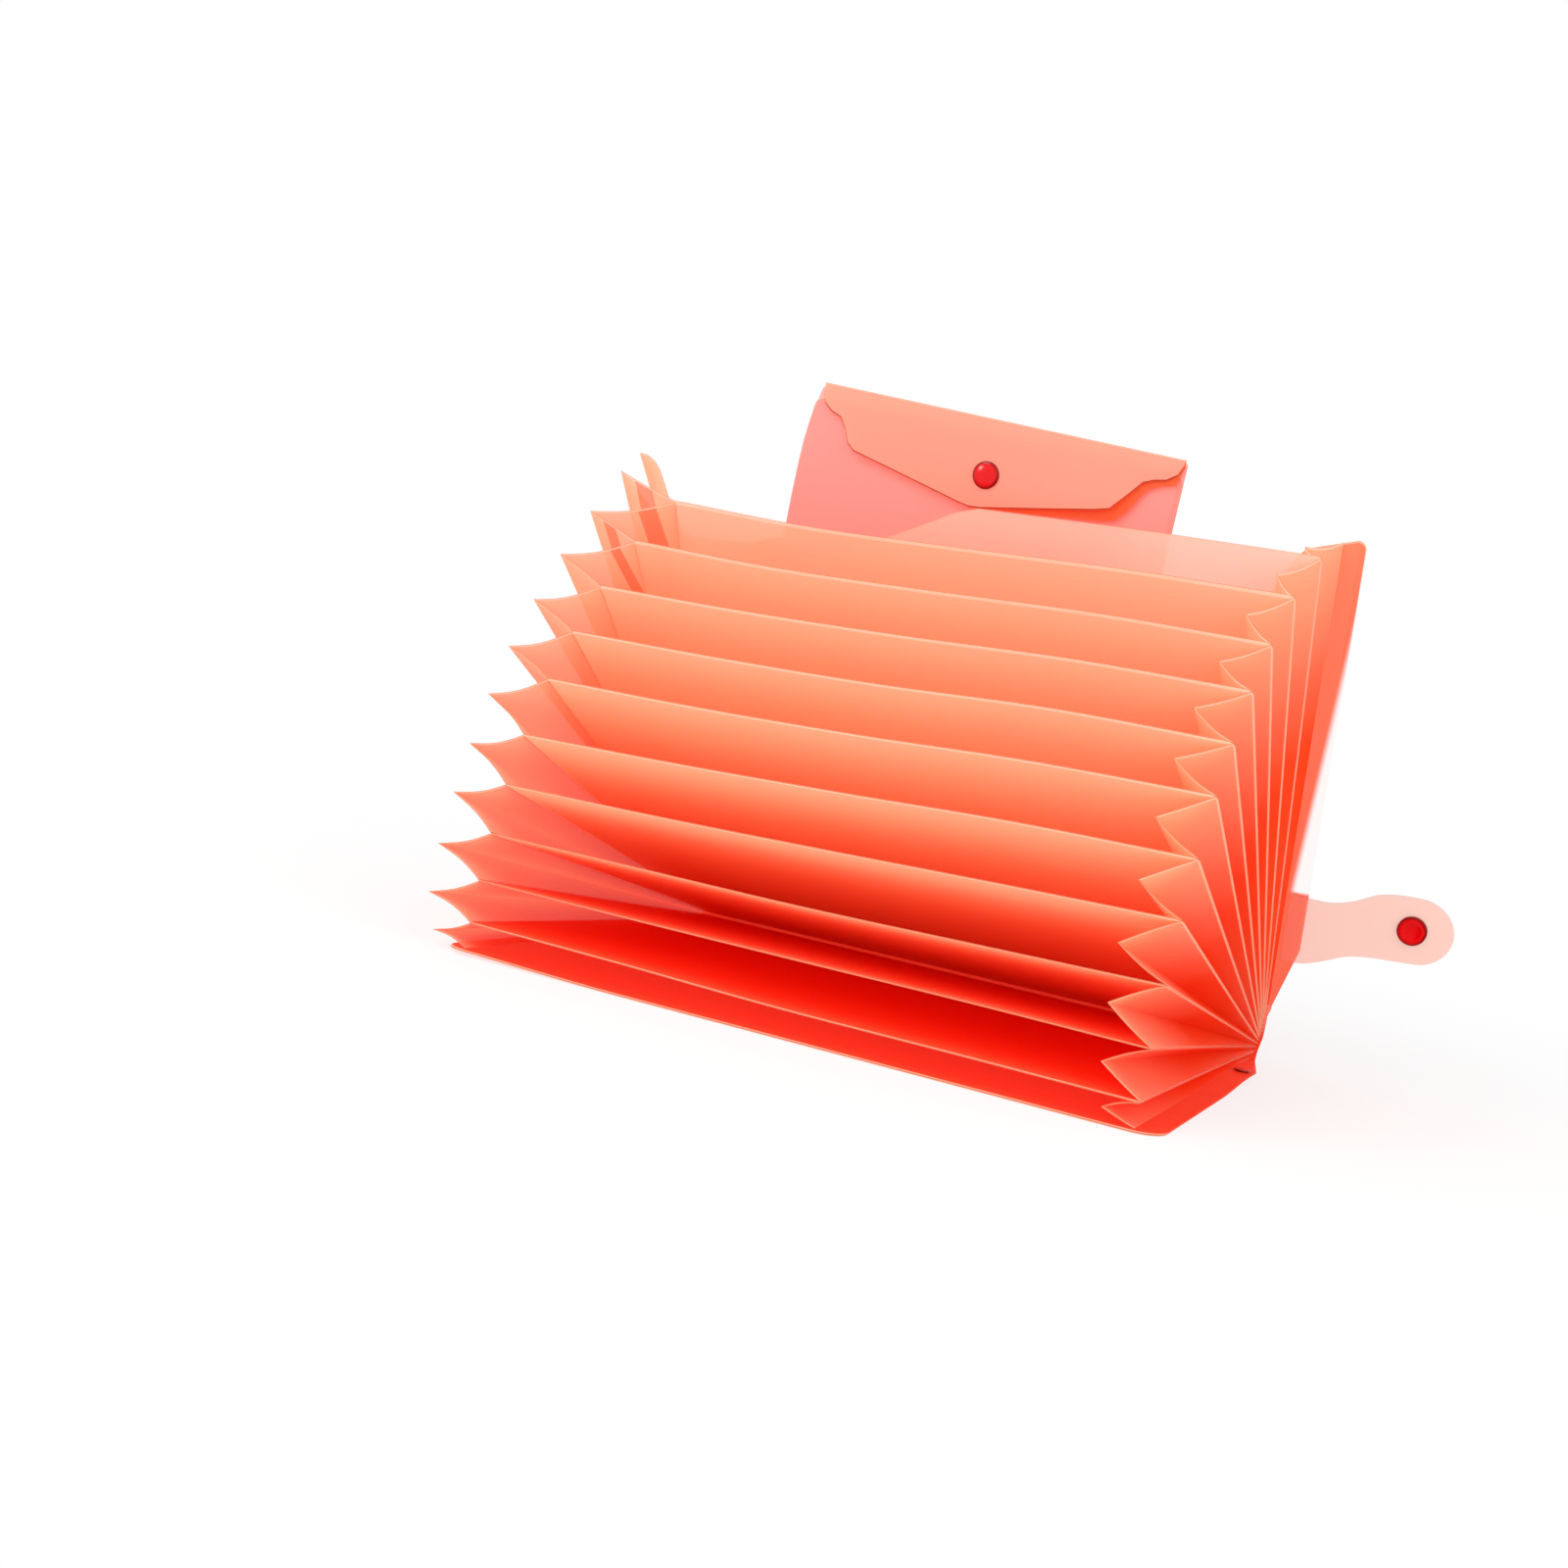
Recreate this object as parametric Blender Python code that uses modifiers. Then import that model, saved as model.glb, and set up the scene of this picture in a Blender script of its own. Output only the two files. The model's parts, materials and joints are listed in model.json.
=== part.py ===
"""Expanding file folder: twelve pockets fanned open, front cover lying flat, back cover upright.

World frame: metres, +Z up, +X to the reader's right, +Y from the reader towards the spine.
The origin is on the front cover's flat underside. A sheet's own frame has X along its width,
Y up its height from the spine, and Z out of its front face.
"""
import math

import bmesh
import bpy
from mathutils import Matrix, Vector

# Driving sizes of the sheets
divider_width = 0.310
divider_height = 0.230
divider_thickness = 0.0005
cover_thickness = 0.0007
cover_side_margin = 0.010
cover_top_margin = 0.003
cover_corner_radius = 0.012
cover_foot_inset = 0.009
front_foot_height = 0.044
back_foot_height = 0.030
divider_corner_radius = 0.003
seat_gap = 0.0003

# How far apart neighbouring sheets lie when the folder is shut
front_pocket_depth = 0.004
pocket_depth = 0.0025
rear_pocket_depth = 0.008
pocket_count = 12

# How far each pocket stands open in degrees, from the front cover to the back cover
fan_steps = (2.1, 4.6, 5.2, 5.5, 5.7, 6.6, 6.1, 6.5, 7.2, 9.3, 12.2, 9.5)

# Spine: the strip that joins the covers stands out behind the dividers
spine_edge_reach = 0.0007
spine_bulge = 0.009

# Front cover: the hump that keeps the closing stud off the table
rest_point_from_spine = 0.160
hump_height = 0.0017
hump_length = 0.120
hump_station_count = 12

# Back cover: only its right ear keeps the full height
ear_width = 0.026
ear_corner_radius = 0.004
recess_depth = 0.035
recess_slope_width = 0.020
recess_slope_steps = 8
recess_left_drop = 0.010
recess_left_width = 0.045
recess_left_radius = 0.015

# Rear divider: its upper left is cut on a slant
slant_start_from_centre = 0.016
slant_drop = 0.066

# Gussets: how deep each one folds, as shares of the deepest fold on its side
gusset_thickness = 0.0004
gusset_foot = 0.006
gusset_top_inset = 0.002
gusset_foot_depth = 0.002
left_gusset_depth = 0.058
left_depth_shares = (0.34, 0.41, 0.41, 0.41, 0.47, 0.52, 0.55, 0.55, 0.57, 0.62, 0.76, 1.0)
right_gusset_depth = 0.022
right_depth_shares = (0.64, 0.82, 0.91, 1.0, 0.91, 0.95, 0.95, 0.95, 0.86, 0.77, 0.73, 0.64)

# Closing strap on the back cover's right margin
strap_thickness = 0.0005
strap_length = 0.078
strap_width = 0.034
strap_foot_height = 0.024
strap_inner_clearance = 0.0015
strap_crease_overhang = 0.0033
strap_crease_gap = 0.0007
strap_wrap_length = 0.0383
strap_round_start_share = 0.78
strap_snap_end_distance = 0.0192
strap_stations_per_piece = 7
strap_round_steps = 8
# Places along the strap, then its lower and upper edge, as shares of its length and width
strap_edge_shares = (
    (0.0, 0.0, 1.0),
    (0.12, 0.0, 1.0),
    (0.26, 0.09, 0.99),
    (0.42, 0.26, 1.05),
    (0.58, 0.33, 1.22),
    (0.78, 0.34, 1.29),
)

# Loose envelope that stands in the rear pocket
envelope_width = 0.198
envelope_height = 0.256
envelope_thickness = 0.0004
envelope_corner_radius = 0.004
envelope_tilt_degrees = -5.4
envelope_top_centre_from_middle = -0.023
envelope_top_centre_height = 0.267
envelope_front_inset = 0.006
flap_fold_rise = 0.0009
flap_lift_degrees = 2.2
flap_depth = 0.045
flap_shoulder_depth = 0.029
flap_side_drop = 0.012
flap_side_inset = 0.007
flap_shoulder_inset = 0.022
flap_edge_steps = 12
flap_shoulder_steps = 5
flap_snap_distance = 0.027

# Snap fasteners
snap_cap_radius = 0.0063
snap_cap_height = 0.0019
snap_cap_rim_height = 0.0007
snap_disc_radius = 0.0070
snap_disc_height = 0.0018
snap_disc_chamfer = 0.0006
snap_bowl_radius = 0.0045
snap_bowl_depth = 0.0011
snap_stud_radius = 0.0045
snap_stud_flange = 0.0005
snap_post_radius = 0.0020
snap_post_height = 0.0005
flap_socket_radius = 0.0050
flap_socket_height = 0.0010
flap_socket_hole_radius = 0.0024
flap_socket_hole_depth = 0.0007
rivet_radius = 0.0036
rivet_height = 0.0006
round_steps = 32
dome_steps = 7
corner_steps = 6

# Colours: clear coral plastic, deeper where layers stack, and glossy red snaps
cover_colour = (1.0, 0.42, 0.27, 1.0)
divider_colour = (1.0, 0.30, 0.13, 1.0)
gusset_colour = (1.0, 0.24, 0.10, 1.0)
envelope_colour = (1.0, 0.47, 0.34, 1.0)
strap_colour = (1.0, 0.60, 0.46, 1.0)
snap_colour = (0.80, 0.01, 0.01, 1.0)

collection_name = "expanding_file_folder"

half_divider = divider_width / 2
half_cover = half_divider + cover_side_margin
half_spine = half_cover - cover_foot_inset
cover_height = divider_height + cover_top_margin
merge_distance = seat_gap / 20


def clear_scene():
    for item in list(bpy.data.objects):
        bpy.data.objects.remove(item, do_unlink=True)


def make_material(name, colour, roughness):
    material = bpy.data.materials.new(name)
    material.use_nodes = True
    shader = material.node_tree.nodes["Principled BSDF"]
    shader.inputs["Base Color"].default_value = colour
    shader.inputs["Roughness"].default_value = roughness
    shader.inputs["Metallic"].default_value = 0.0
    return material


def place(item, parent, location=(0, 0, 0), rotation=(0, 0, 0)):
    item.parent = parent
    item.location = location
    item.rotation_euler = rotation
    return item


def add_piece(name, data, parent, location=(0, 0, 0), rotation=(0, 0, 0)):
    """One sub-part with a material of its own kind, placed under its joint's empty."""
    piece = bpy.data.objects.new(name, data)
    parts.objects.link(piece)
    return place(piece, parent, location, rotation)


def add_pivot(name, parent, location, rotation=(0, 0, 0)):
    pivot = bpy.data.objects.new(name, None)
    pivot.empty_display_size = cover_side_margin
    parts.objects.link(pivot)
    return place(pivot, parent, location, rotation)


def corner_arc(before, corner, after, radius):
    """Points of the arc that rounds one corner of an outline."""
    towards_before = (before - corner).normalized()
    towards_after = (after - corner).normalized()
    half_angle = towards_before.angle(towards_after) / 2
    run = radius / math.tan(half_angle)
    bisector = (towards_before + towards_after).normalized()
    centre = corner + bisector * (radius / math.sin(half_angle))
    start = corner + towards_before * run - centre
    turn = math.pi - 2 * half_angle
    side = 1 if towards_before.cross(towards_after) < 0 else -1
    arc = []
    for step in range(corner_steps + 1):
        angle = side * turn * step / corner_steps
        swing = Matrix.Rotation(angle, 2)
        arc.append(centre + swing @ start)
    return arc


def rounded_outline(corners):
    """Closed outline from (x, y, corner radius) in order; a radius of 0 stays sharp."""
    outline = []
    for index, (x, y, radius) in enumerate(corners):
        corner = Vector((x, y))
        if radius == 0:
            outline.append(corner)
            continue
        before = Vector(corners[index - 1][:2])
        after = Vector(corners[(index + 1) % len(corners)][:2])
        outline.extend(corner_arc(before, corner, after, radius))
    return outline


def add_sheet(name, outline, thickness, material, parent, height_in_z=0.0):
    """A flat sheet: a filled outline with an extrude of half its thickness."""
    curve = bpy.data.curves.new(name, "CURVE")
    curve.dimensions = "2D"
    curve.fill_mode = "BOTH"
    curve.extrude = thickness / 2
    spline = curve.splines.new("POLY")
    spline.points.add(len(outline) - 1)
    for point, place_2d in zip(spline.points, outline):
        point.co = (place_2d.x, place_2d.y, 0, 1)
    spline.use_cyclic_u = True
    curve.materials.append(material)
    return add_piece(name, curve, parent, (0, 0, height_in_z))


def add_shell(name, mesh, thickness, material, parent):
    """An open surface made solid around its middle."""
    mesh.materials.append(material)
    piece = add_piece(name, mesh, parent)
    solid = piece.modifiers.new("thickness", "SOLIDIFY")
    solid.thickness = thickness
    solid.offset = 0
    solid.use_even_offset = True
    return piece


def add_turned(name, profile, material, parent, location, face_sign=1):
    """A round snap piece: a profile turned about Z, which points out of the sheet."""
    mesh = bpy.data.meshes.new(name)
    points = [(radius, 0, face_sign * height) for radius, height in profile]
    if face_sign < 0:
        points.reverse()
    edges = [(index, index + 1) for index in range(len(points) - 1)]
    mesh.from_pydata(points, edges, [])
    mesh.materials.append(material)
    piece = add_piece(name, mesh, parent, location)
    turn = piece.modifiers.new("turn", "SCREW")
    turn.axis = "Z"
    turn.angle = math.tau
    turn.steps = round_steps
    turn.render_steps = round_steps
    turn.use_merge_vertices = True
    turn.merge_threshold = merge_distance
    turn.use_smooth_shade = True
    return piece


def pocket_depth_of(pocket):
    if pocket == 1:
        return front_pocket_depth
    if pocket == pocket_count:
        return rear_pocket_depth
    return pocket_depth


def sheet_level(sheet):
    """Height of a sheet's middle above its hinge line, in the sheet's own frame."""
    return -pocket_depth_of(sheet) / 2 if sheet > 0 else 0.0


def spine_reach(sheet):
    """How far the spine strip stands below a sheet's foot point."""
    return spine_edge_reach + spine_bulge * math.sin(math.pi * sheet / pocket_count)


def divider_foot(sheet):
    clearance = cover_thickness / 2 + divider_thickness / 2 + seat_gap
    return -(spine_reach(sheet) - clearance)


def add_fan_pivots():
    """The empties of the twelve hinge lines, each under the one before it."""
    frame = add_pivot("front_cover_frame", None, (0, rest_point_from_spine, cover_thickness / 2),
                      (math.pi, 0, 0))
    pivots = [frame]
    for pocket in range(1, pocket_count + 1):
        drop = sheet_level(pocket - 1) - pocket_depth_of(pocket) / 2
        step = math.radians(fan_steps[pocket - 1])
        pivots.append(add_pivot(f"fan_{pocket:02d}", pivots[-1], (0, 0, drop), (-step, 0, 0)))
    return pivots


def hump(distance):
    """Rise of the front cover above the table, at a distance from the spine."""
    if distance <= 0 or distance >= hump_length:
        return 0.0
    return hump_height * math.sin(math.pi * distance / hump_length) ** 2


def add_front_cover(frame):
    outline = rounded_outline([
        (-half_spine, 0, 0),
        (half_spine, 0, 0),
        (half_cover, front_foot_height, 0),
        (half_cover, cover_height, cover_corner_radius),
        (-half_cover, cover_height, cover_corner_radius),
        (-half_cover, front_foot_height, 0),
    ])
    mesh = bpy.data.meshes.new("front_cover")
    surface = bmesh.new()
    surface.faces.new([surface.verts.new((point.x, point.y, 0)) for point in outline])
    for station in range(1, hump_station_count + 1):
        cut = hump_length * station / hump_station_count
        everything = surface.verts[:] + surface.edges[:] + surface.faces[:]
        bmesh.ops.bisect_plane(surface, geom=everything, dist=merge_distance,
                               plane_co=(0, cut, 0), plane_no=(0, 1, 0))
    for vertex in surface.verts:
        vertex.co.z = -hump(vertex.co.y)
    surface.to_mesh(mesh)
    surface.free()
    return add_shell("front_cover", mesh, cover_thickness, cover_plastic, frame)


def back_cover_outline():
    ear_left = half_cover - ear_width
    recess_top = cover_height - recess_depth
    slope = []
    for step in range(recess_slope_steps + 1):
        share = step / recess_slope_steps
        drop = recess_depth * (1 - math.cos(math.pi * share)) / 2
        slope.append((ear_left - recess_slope_width * share, cover_height - drop, 0))
    left_top = recess_top - recess_left_drop
    return rounded_outline([
        (-half_spine, 0, 0),
        (half_spine, 0, 0),
        (half_cover, back_foot_height, 0),
        (half_cover, cover_height, ear_corner_radius),
        *slope,
        (-half_cover + recess_left_width, recess_top, 0),
        (-half_cover, left_top, recess_left_radius),
        (-half_cover, back_foot_height, 0),
    ])


def add_back_cover(pivot):
    return add_sheet("back_cover", back_cover_outline(), cover_thickness, cover_plastic, pivot,
                     sheet_level(pocket_count))


def divider_outline(sheet):
    foot = divider_foot(sheet)
    corners = [
        (-half_divider, foot, 0),
        (half_divider, foot, 0),
        (half_divider, divider_height, divider_corner_radius),
    ]
    if sheet == pocket_count - 1:
        corners.append((-slant_start_from_centre, divider_height, divider_corner_radius))
        corners.append((-half_divider, divider_height - slant_drop, divider_corner_radius))
    else:
        corners.append((-half_divider, divider_height, divider_corner_radius))
    return rounded_outline(corners)


def add_dividers(pivots):
    for sheet in range(1, pocket_count):
        add_sheet(f"divider_{sheet:02d}", divider_outline(sheet), divider_thickness,
                  divider_plastic, pivots[sheet], sheet_level(sheet))


def foot_point(pivots, sheet):
    """World place of a sheet's middle at its foot, half way across."""
    return pivots[sheet].matrix_world @ Vector((0, 0, sheet_level(sheet)))


def add_spine(pivots):
    """The strip behind the dividers, from the front cover's edge to the back cover's."""
    to_frame = pivots[0].matrix_world.inverted()
    stations = []
    for sheet in range(pocket_count + 1):
        foot = foot_point(pivots, sheet)
        down = pivots[sheet].matrix_world.to_3x3() @ Vector((0, -1, 0))
        stations.append(to_frame @ (foot + down * spine_reach(sheet)))
    mesh = bpy.data.meshes.new("cover_spine")
    surface = bmesh.new()
    lines = []
    for station in stations:
        left = surface.verts.new((-half_spine, station.y, station.z))
        right = surface.verts.new((half_spine, station.y, station.z))
        lines.append(surface.edges.new((left, right)))
    for line, following in zip(lines, lines[1:]):
        bmesh.ops.bridge_loops(surface, edges=[line, following])
    surface.to_mesh(mesh)
    surface.free()
    return add_shell("cover_spine", mesh, cover_thickness, cover_plastic, pivots[0])


def gusset_point(pocket, fold_share, x, y):
    """A point in a pocket, seen in its pivot's frame.

    fold_share is 0 on the sheet behind, 1 on the sheet in front, and a half on the fold line.
    """
    step = math.radians(fan_steps[pocket - 1])
    reach = pocket_depth_of(pocket) / 2
    clearance = (cover_thickness + gusset_thickness) / 2 + seat_gap
    level = (2 * fold_share - 1) * (reach - clearance)
    if pocket == 1:
        level -= fold_share * hump_height
    return Matrix.Rotation(step * fold_share, 3, "X") @ Vector((x, y, level))


def add_gusset(name, pocket, pivot, side, edge_x, depth, tops):
    """A pleat between two sheets: two flaps that meet on a fold line.

    side is the way along X in which the fold lies from the sheets' edges. tops are the heights
    of the edge behind, the fold line and the edge in front.
    """
    mesh = bpy.data.meshes.new(name)
    surface = bmesh.new()
    lines = []
    for fold_share, top in zip((0.0, 0.5, 1.0), tops):
        folded = 1 if fold_share == 0.5 else 0
        foot_x = edge_x + side * folded * gusset_foot_depth
        top_x = edge_x + side * folded * depth
        foot = surface.verts.new(gusset_point(pocket, fold_share, foot_x, gusset_foot))
        head = surface.verts.new(gusset_point(pocket, fold_share, top_x, top))
        lines.append(surface.edges.new((foot, head)))
    for line, following in zip(lines, lines[1:]):
        bmesh.ops.bridge_loops(surface, edges=[line, following])
    bmesh.ops.recalc_face_normals(surface, faces=surface.faces[:])
    surface.to_mesh(mesh)
    surface.free()
    return add_shell(name, mesh, gusset_thickness, gusset_plastic, pivot)


def add_gussets(pivots):
    full_top = divider_height - gusset_top_inset
    slant_top = full_top - slant_drop
    left_back_top = cover_height - recess_depth - recess_left_drop - recess_left_radius
    left_edge = -half_divider - seat_gap - gusset_thickness
    for pocket in range(1, pocket_count + 1):
        tops = [full_top, full_top, full_top]
        if pocket == pocket_count - 1:
            tops[0] = slant_top
        if pocket == pocket_count:
            tops = [left_back_top, full_top, slant_top]
        depth = left_gusset_depth * left_depth_shares[pocket - 1]
        add_gusset(f"left_gusset_{pocket:02d}", pocket, pivots[pocket], -1, left_edge, depth, tops)
        depth = right_gusset_depth * right_depth_shares[pocket - 1]
        add_gusset(f"right_gusset_{pocket:02d}", pocket, pivots[pocket], -1, half_divider, depth,
                   (full_top, full_top, full_top))


def strap_edges(share):
    """Lower and upper edge of the strap at a share of its length."""
    last = strap_edge_shares[-1]
    if share >= strap_round_start_share:
        run = (share - strap_round_start_share) / (1 - strap_round_start_share)
        half = (last[2] - last[1]) / 2 * math.sqrt(max(0.0, 1 - run * run))
        middle = (last[1] + last[2]) / 2
        return (middle - half) * strap_width, (middle + half) * strap_width
    for before, after in zip(strap_edge_shares, strap_edge_shares[1:]):
        if share <= after[0]:
            run = (share - before[0]) / (after[0] - before[0])
            ease = run * run * (3 - 2 * run)
            low = before[1] + (after[1] - before[1]) * ease
            high = before[2] + (after[2] - before[2]) * ease
            return low * strap_width, high * strap_width
    return last[1] * strap_width, last[2] * strap_width


def strap_outline(start, end, origin_x):
    """Outline of the strap between two distances from its inner end, moved to a crease."""
    shares = [start + (end - start) * step / strap_stations_per_piece
              for step in range(strap_stations_per_piece + 1)]
    if end == strap_length:
        round_start = strap_length * strap_round_start_share
        shares = [start + (round_start - start) * step / strap_stations_per_piece
                  for step in range(strap_stations_per_piece)]
        for step in range(strap_round_steps):
            swing = math.sin(math.pi / 2 * step / strap_round_steps)
            shares.append(round_start + (strap_length - round_start) * swing)
    lower = []
    upper = []
    for distance in shares:
        low, high = strap_edges(distance / strap_length)
        lower.append(Vector((distance - origin_x, low)))
        upper.append(Vector((distance - origin_x, high)))
    outline = lower
    if end == strap_length:
        low, high = strap_edges(1.0)
        outline.append(Vector((strap_length - origin_x, (low + high) / 2)))
    return outline + upper[::-1]


def add_strap(pivot):
    """The strap's three panels: one on the cover's margin, one round the side, one with the snap."""
    level = sheet_level(pocket_count) + (cover_thickness + strap_thickness) / 2 + seat_gap
    inner_x = half_divider + strap_inner_clearance
    crease = half_cover + strap_crease_overhang - inner_x
    second_crease = crease + strap_wrap_length
    half_gap = strap_crease_gap / 2
    root = add_sheet("strap_root", strap_outline(0.0, crease - half_gap, 0.0), strap_thickness,
                     strap_plastic, pivot)
    root.location = (inner_x, strap_foot_height, level)
    fold = add_pivot("strap_fold", pivot, (inner_x + crease, strap_foot_height, level))
    add_sheet("strap_neck", strap_outline(crease + half_gap, second_crease - half_gap, crease),
              strap_thickness, strap_plastic, fold)
    wrap = add_pivot("strap_wrap", fold, (strap_wrap_length, 0, 0))
    add_sheet("strap_tab", strap_outline(second_crease + half_gap, strap_length, second_crease),
              strap_thickness, strap_plastic, wrap)
    snap_distance = strap_length - strap_snap_end_distance
    low, high = strap_edges(snap_distance / strap_length)
    seat = strap_thickness / 2 + seat_gap
    snap_x = snap_distance - second_crease
    snap_y = (low + high) / 2
    add_turned("strap_socket", dished_disc_profile(), snap_plastic, wrap, (snap_x, snap_y, seat))
    add_turned("strap_cap", dome_profile(), snap_plastic, wrap, (snap_x, snap_y, -seat), -1)
    return inner_x + crease - (snap_distance - second_crease), strap_foot_height + snap_y


def dome_profile():
    """A cap with a straight rim and a domed face, from its top down its outer side."""
    rise = snap_cap_height - snap_cap_rim_height
    profile = []
    for step in range(dome_steps + 1):
        angle = math.pi / 2 * step / dome_steps
        profile.append((snap_cap_radius * math.sin(angle), snap_cap_rim_height + rise * math.cos(angle)))
    profile.append((snap_cap_radius, 0))
    profile.append((0, 0))
    return profile


def dished_disc_profile():
    """A flat disc with a chamfered rim and a shallow bowl that takes the stud."""
    profile = []
    for step in range(dome_steps + 1):
        angle = math.pi / 2 * step / dome_steps
        depth = snap_bowl_depth * math.cos(angle)
        profile.append((snap_bowl_radius * math.sin(angle), snap_disc_height - depth))
    profile.append((snap_disc_radius - snap_disc_chamfer, snap_disc_height))
    profile.append((snap_disc_radius, snap_disc_height - snap_disc_chamfer))
    profile.append((snap_disc_radius, 0))
    profile.append((0, 0))
    return profile


def stud_profile():
    """A round flange with a short post in the middle."""
    top = snap_stud_flange + snap_post_height
    return [(0, top), (snap_post_radius, top), (snap_post_radius, snap_stud_flange),
            (snap_stud_radius, snap_stud_flange), (snap_stud_radius, 0), (0, 0)]


def socket_profile():
    """A round socket whose blind hole takes the post."""
    floor = flap_socket_height - flap_socket_hole_depth
    return [(0, floor), (flap_socket_hole_radius, floor), (flap_socket_hole_radius, flap_socket_height),
            (flap_socket_radius, flap_socket_height), (flap_socket_radius, 0), (0, 0)]


def rivet_profile():
    return [(0, rivet_height), (rivet_radius, rivet_height), (rivet_radius, 0), (0, 0)]


def add_cover_stud(frame, stud_x, stud_y):
    """The stud under the front cover that the strap closes on, and its rivet inside."""
    level = -hump(stud_y)
    seat = cover_thickness / 2 + seat_gap
    add_turned("cover_stud", stud_profile(), snap_plastic, frame,
               (stud_x, stud_y, level + seat))
    add_turned("cover_rivet", rivet_profile(), snap_plastic, frame, (stud_x, stud_y, level - seat), -1)


def envelope_sheet_outline(top):
    half = envelope_width / 2
    radius = envelope_corner_radius
    return rounded_outline([(-half, -envelope_height, radius), (half, -envelope_height, radius),
                            (half, top, radius), (-half, top, radius)])


def flap_outline():
    """Free edge of the flap: two shoulders and a shallow arc between them."""
    half = envelope_width / 2
    side = half - flap_side_inset
    shoulder = half - flap_shoulder_inset
    right = [Vector((half - seat_gap, -seat_gap))]
    for step in range(flap_shoulder_steps + 1):
        share = step / flap_shoulder_steps
        ease = (1 - math.cos(math.pi * share)) / 2
        right.append(Vector((side + (shoulder - side) * share,
                             -flap_side_drop - (flap_shoulder_depth - flap_side_drop) * ease)))
    for step in range(1, flap_edge_steps // 2 + 1):
        share = 1 - 2 * step / flap_edge_steps
        sag = (flap_depth - flap_shoulder_depth) * math.cos(math.pi / 2 * share)
        right.append(Vector((shoulder * share, -flap_shoulder_depth - sag)))
    left = [Vector((-point.x, point.y)) for point in reversed(right[:-1])]
    return right + left


def add_envelope(pivot):
    """The loose envelope: back sheet, front sheet, and the flap that snaps over the front."""
    tilt = math.radians(envelope_tilt_degrees)
    frame = add_pivot("envelope_slide", pivot,
                      (envelope_top_centre_from_middle, envelope_top_centre_height,
                       sheet_level(pocket_count)), (0, 0, tilt))
    layer = envelope_thickness + seat_gap
    back_level = (cover_thickness + envelope_thickness) / 2 + seat_gap
    front_level = back_level + layer
    add_sheet("envelope_back", envelope_sheet_outline(-seat_gap), envelope_thickness,
              envelope_plastic, frame, back_level)
    add_sheet("envelope_front", envelope_sheet_outline(-envelope_front_inset), envelope_thickness,
              envelope_plastic, frame, front_level)
    lift = math.radians(flap_lift_degrees)
    fold = add_pivot("flap_fold", frame, (0, 0, front_level + flap_fold_rise), (-lift, 0, 0))
    add_sheet("envelope_flap", flap_outline(), envelope_thickness, envelope_plastic, fold,
              flap_fold_rise)
    seat = envelope_thickness / 2 + seat_gap
    add_turned("flap_cap", dome_profile(), snap_plastic, fold,
               (0, -flap_snap_distance, flap_fold_rise + seat))
    add_turned("flap_socket", socket_profile(), snap_plastic, fold,
               (0, -flap_snap_distance, flap_fold_rise - seat), -1)
    add_turned("envelope_stud", stud_profile(), snap_plastic, frame,
               (0, -flap_snap_distance, front_level + seat))


clear_scene()
parts = bpy.data.collections.new(collection_name)
bpy.context.scene.collection.children.link(parts)
cover_plastic = make_material("cover_plastic", cover_colour, 0.35)
divider_plastic = make_material("divider_plastic", divider_colour, 0.40)
gusset_plastic = make_material("gusset_plastic", gusset_colour, 0.40)
envelope_plastic = make_material("envelope_plastic", envelope_colour, 0.40)
strap_plastic = make_material("strap_plastic", strap_colour, 0.35)
snap_plastic = make_material("snap_plastic", snap_colour, 0.15)

fan = add_fan_pivots()
bpy.context.view_layer.update()
add_front_cover(fan[0])
add_dividers(fan)
add_back_cover(fan[pocket_count])
add_spine(fan)
add_gussets(fan)
stud_place = add_strap(fan[pocket_count])
add_cover_stud(fan[0], *stud_place)
add_envelope(fan[pocket_count])
bpy.context.view_layer.update()
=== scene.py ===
"""Expanding file folder: clear coral plastic sheets, pleats, spine, strap, envelope and red snaps.

Metres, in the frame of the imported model: +X right, +Y towards the spine, +Z up. A sheet's own
frame has X along its width, Y up from the spine and Z out of its front face.
"""
import json
from math import cos, exp, pi, radians, sin, sqrt, tau

import bmesh
import bpy
from mathutils import Matrix, Vector

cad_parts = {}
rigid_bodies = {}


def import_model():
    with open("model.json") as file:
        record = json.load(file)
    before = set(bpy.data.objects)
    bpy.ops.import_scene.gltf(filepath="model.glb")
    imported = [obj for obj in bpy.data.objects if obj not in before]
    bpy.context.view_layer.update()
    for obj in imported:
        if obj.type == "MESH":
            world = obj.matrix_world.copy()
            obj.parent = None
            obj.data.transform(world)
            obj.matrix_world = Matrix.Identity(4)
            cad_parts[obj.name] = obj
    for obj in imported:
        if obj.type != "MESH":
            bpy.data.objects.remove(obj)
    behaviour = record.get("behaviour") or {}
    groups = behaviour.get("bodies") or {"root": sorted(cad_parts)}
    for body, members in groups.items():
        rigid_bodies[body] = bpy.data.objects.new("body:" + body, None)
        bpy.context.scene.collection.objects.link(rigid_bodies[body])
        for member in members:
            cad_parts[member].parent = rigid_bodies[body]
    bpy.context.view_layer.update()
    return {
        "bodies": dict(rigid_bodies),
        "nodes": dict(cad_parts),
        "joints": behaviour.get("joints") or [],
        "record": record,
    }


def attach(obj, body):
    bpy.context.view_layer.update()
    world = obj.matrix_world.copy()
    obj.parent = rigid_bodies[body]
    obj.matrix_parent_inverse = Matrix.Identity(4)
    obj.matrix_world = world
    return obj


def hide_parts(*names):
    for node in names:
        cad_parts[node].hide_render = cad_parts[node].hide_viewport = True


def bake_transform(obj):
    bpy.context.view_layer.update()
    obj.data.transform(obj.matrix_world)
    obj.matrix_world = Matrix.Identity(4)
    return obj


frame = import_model()

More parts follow.
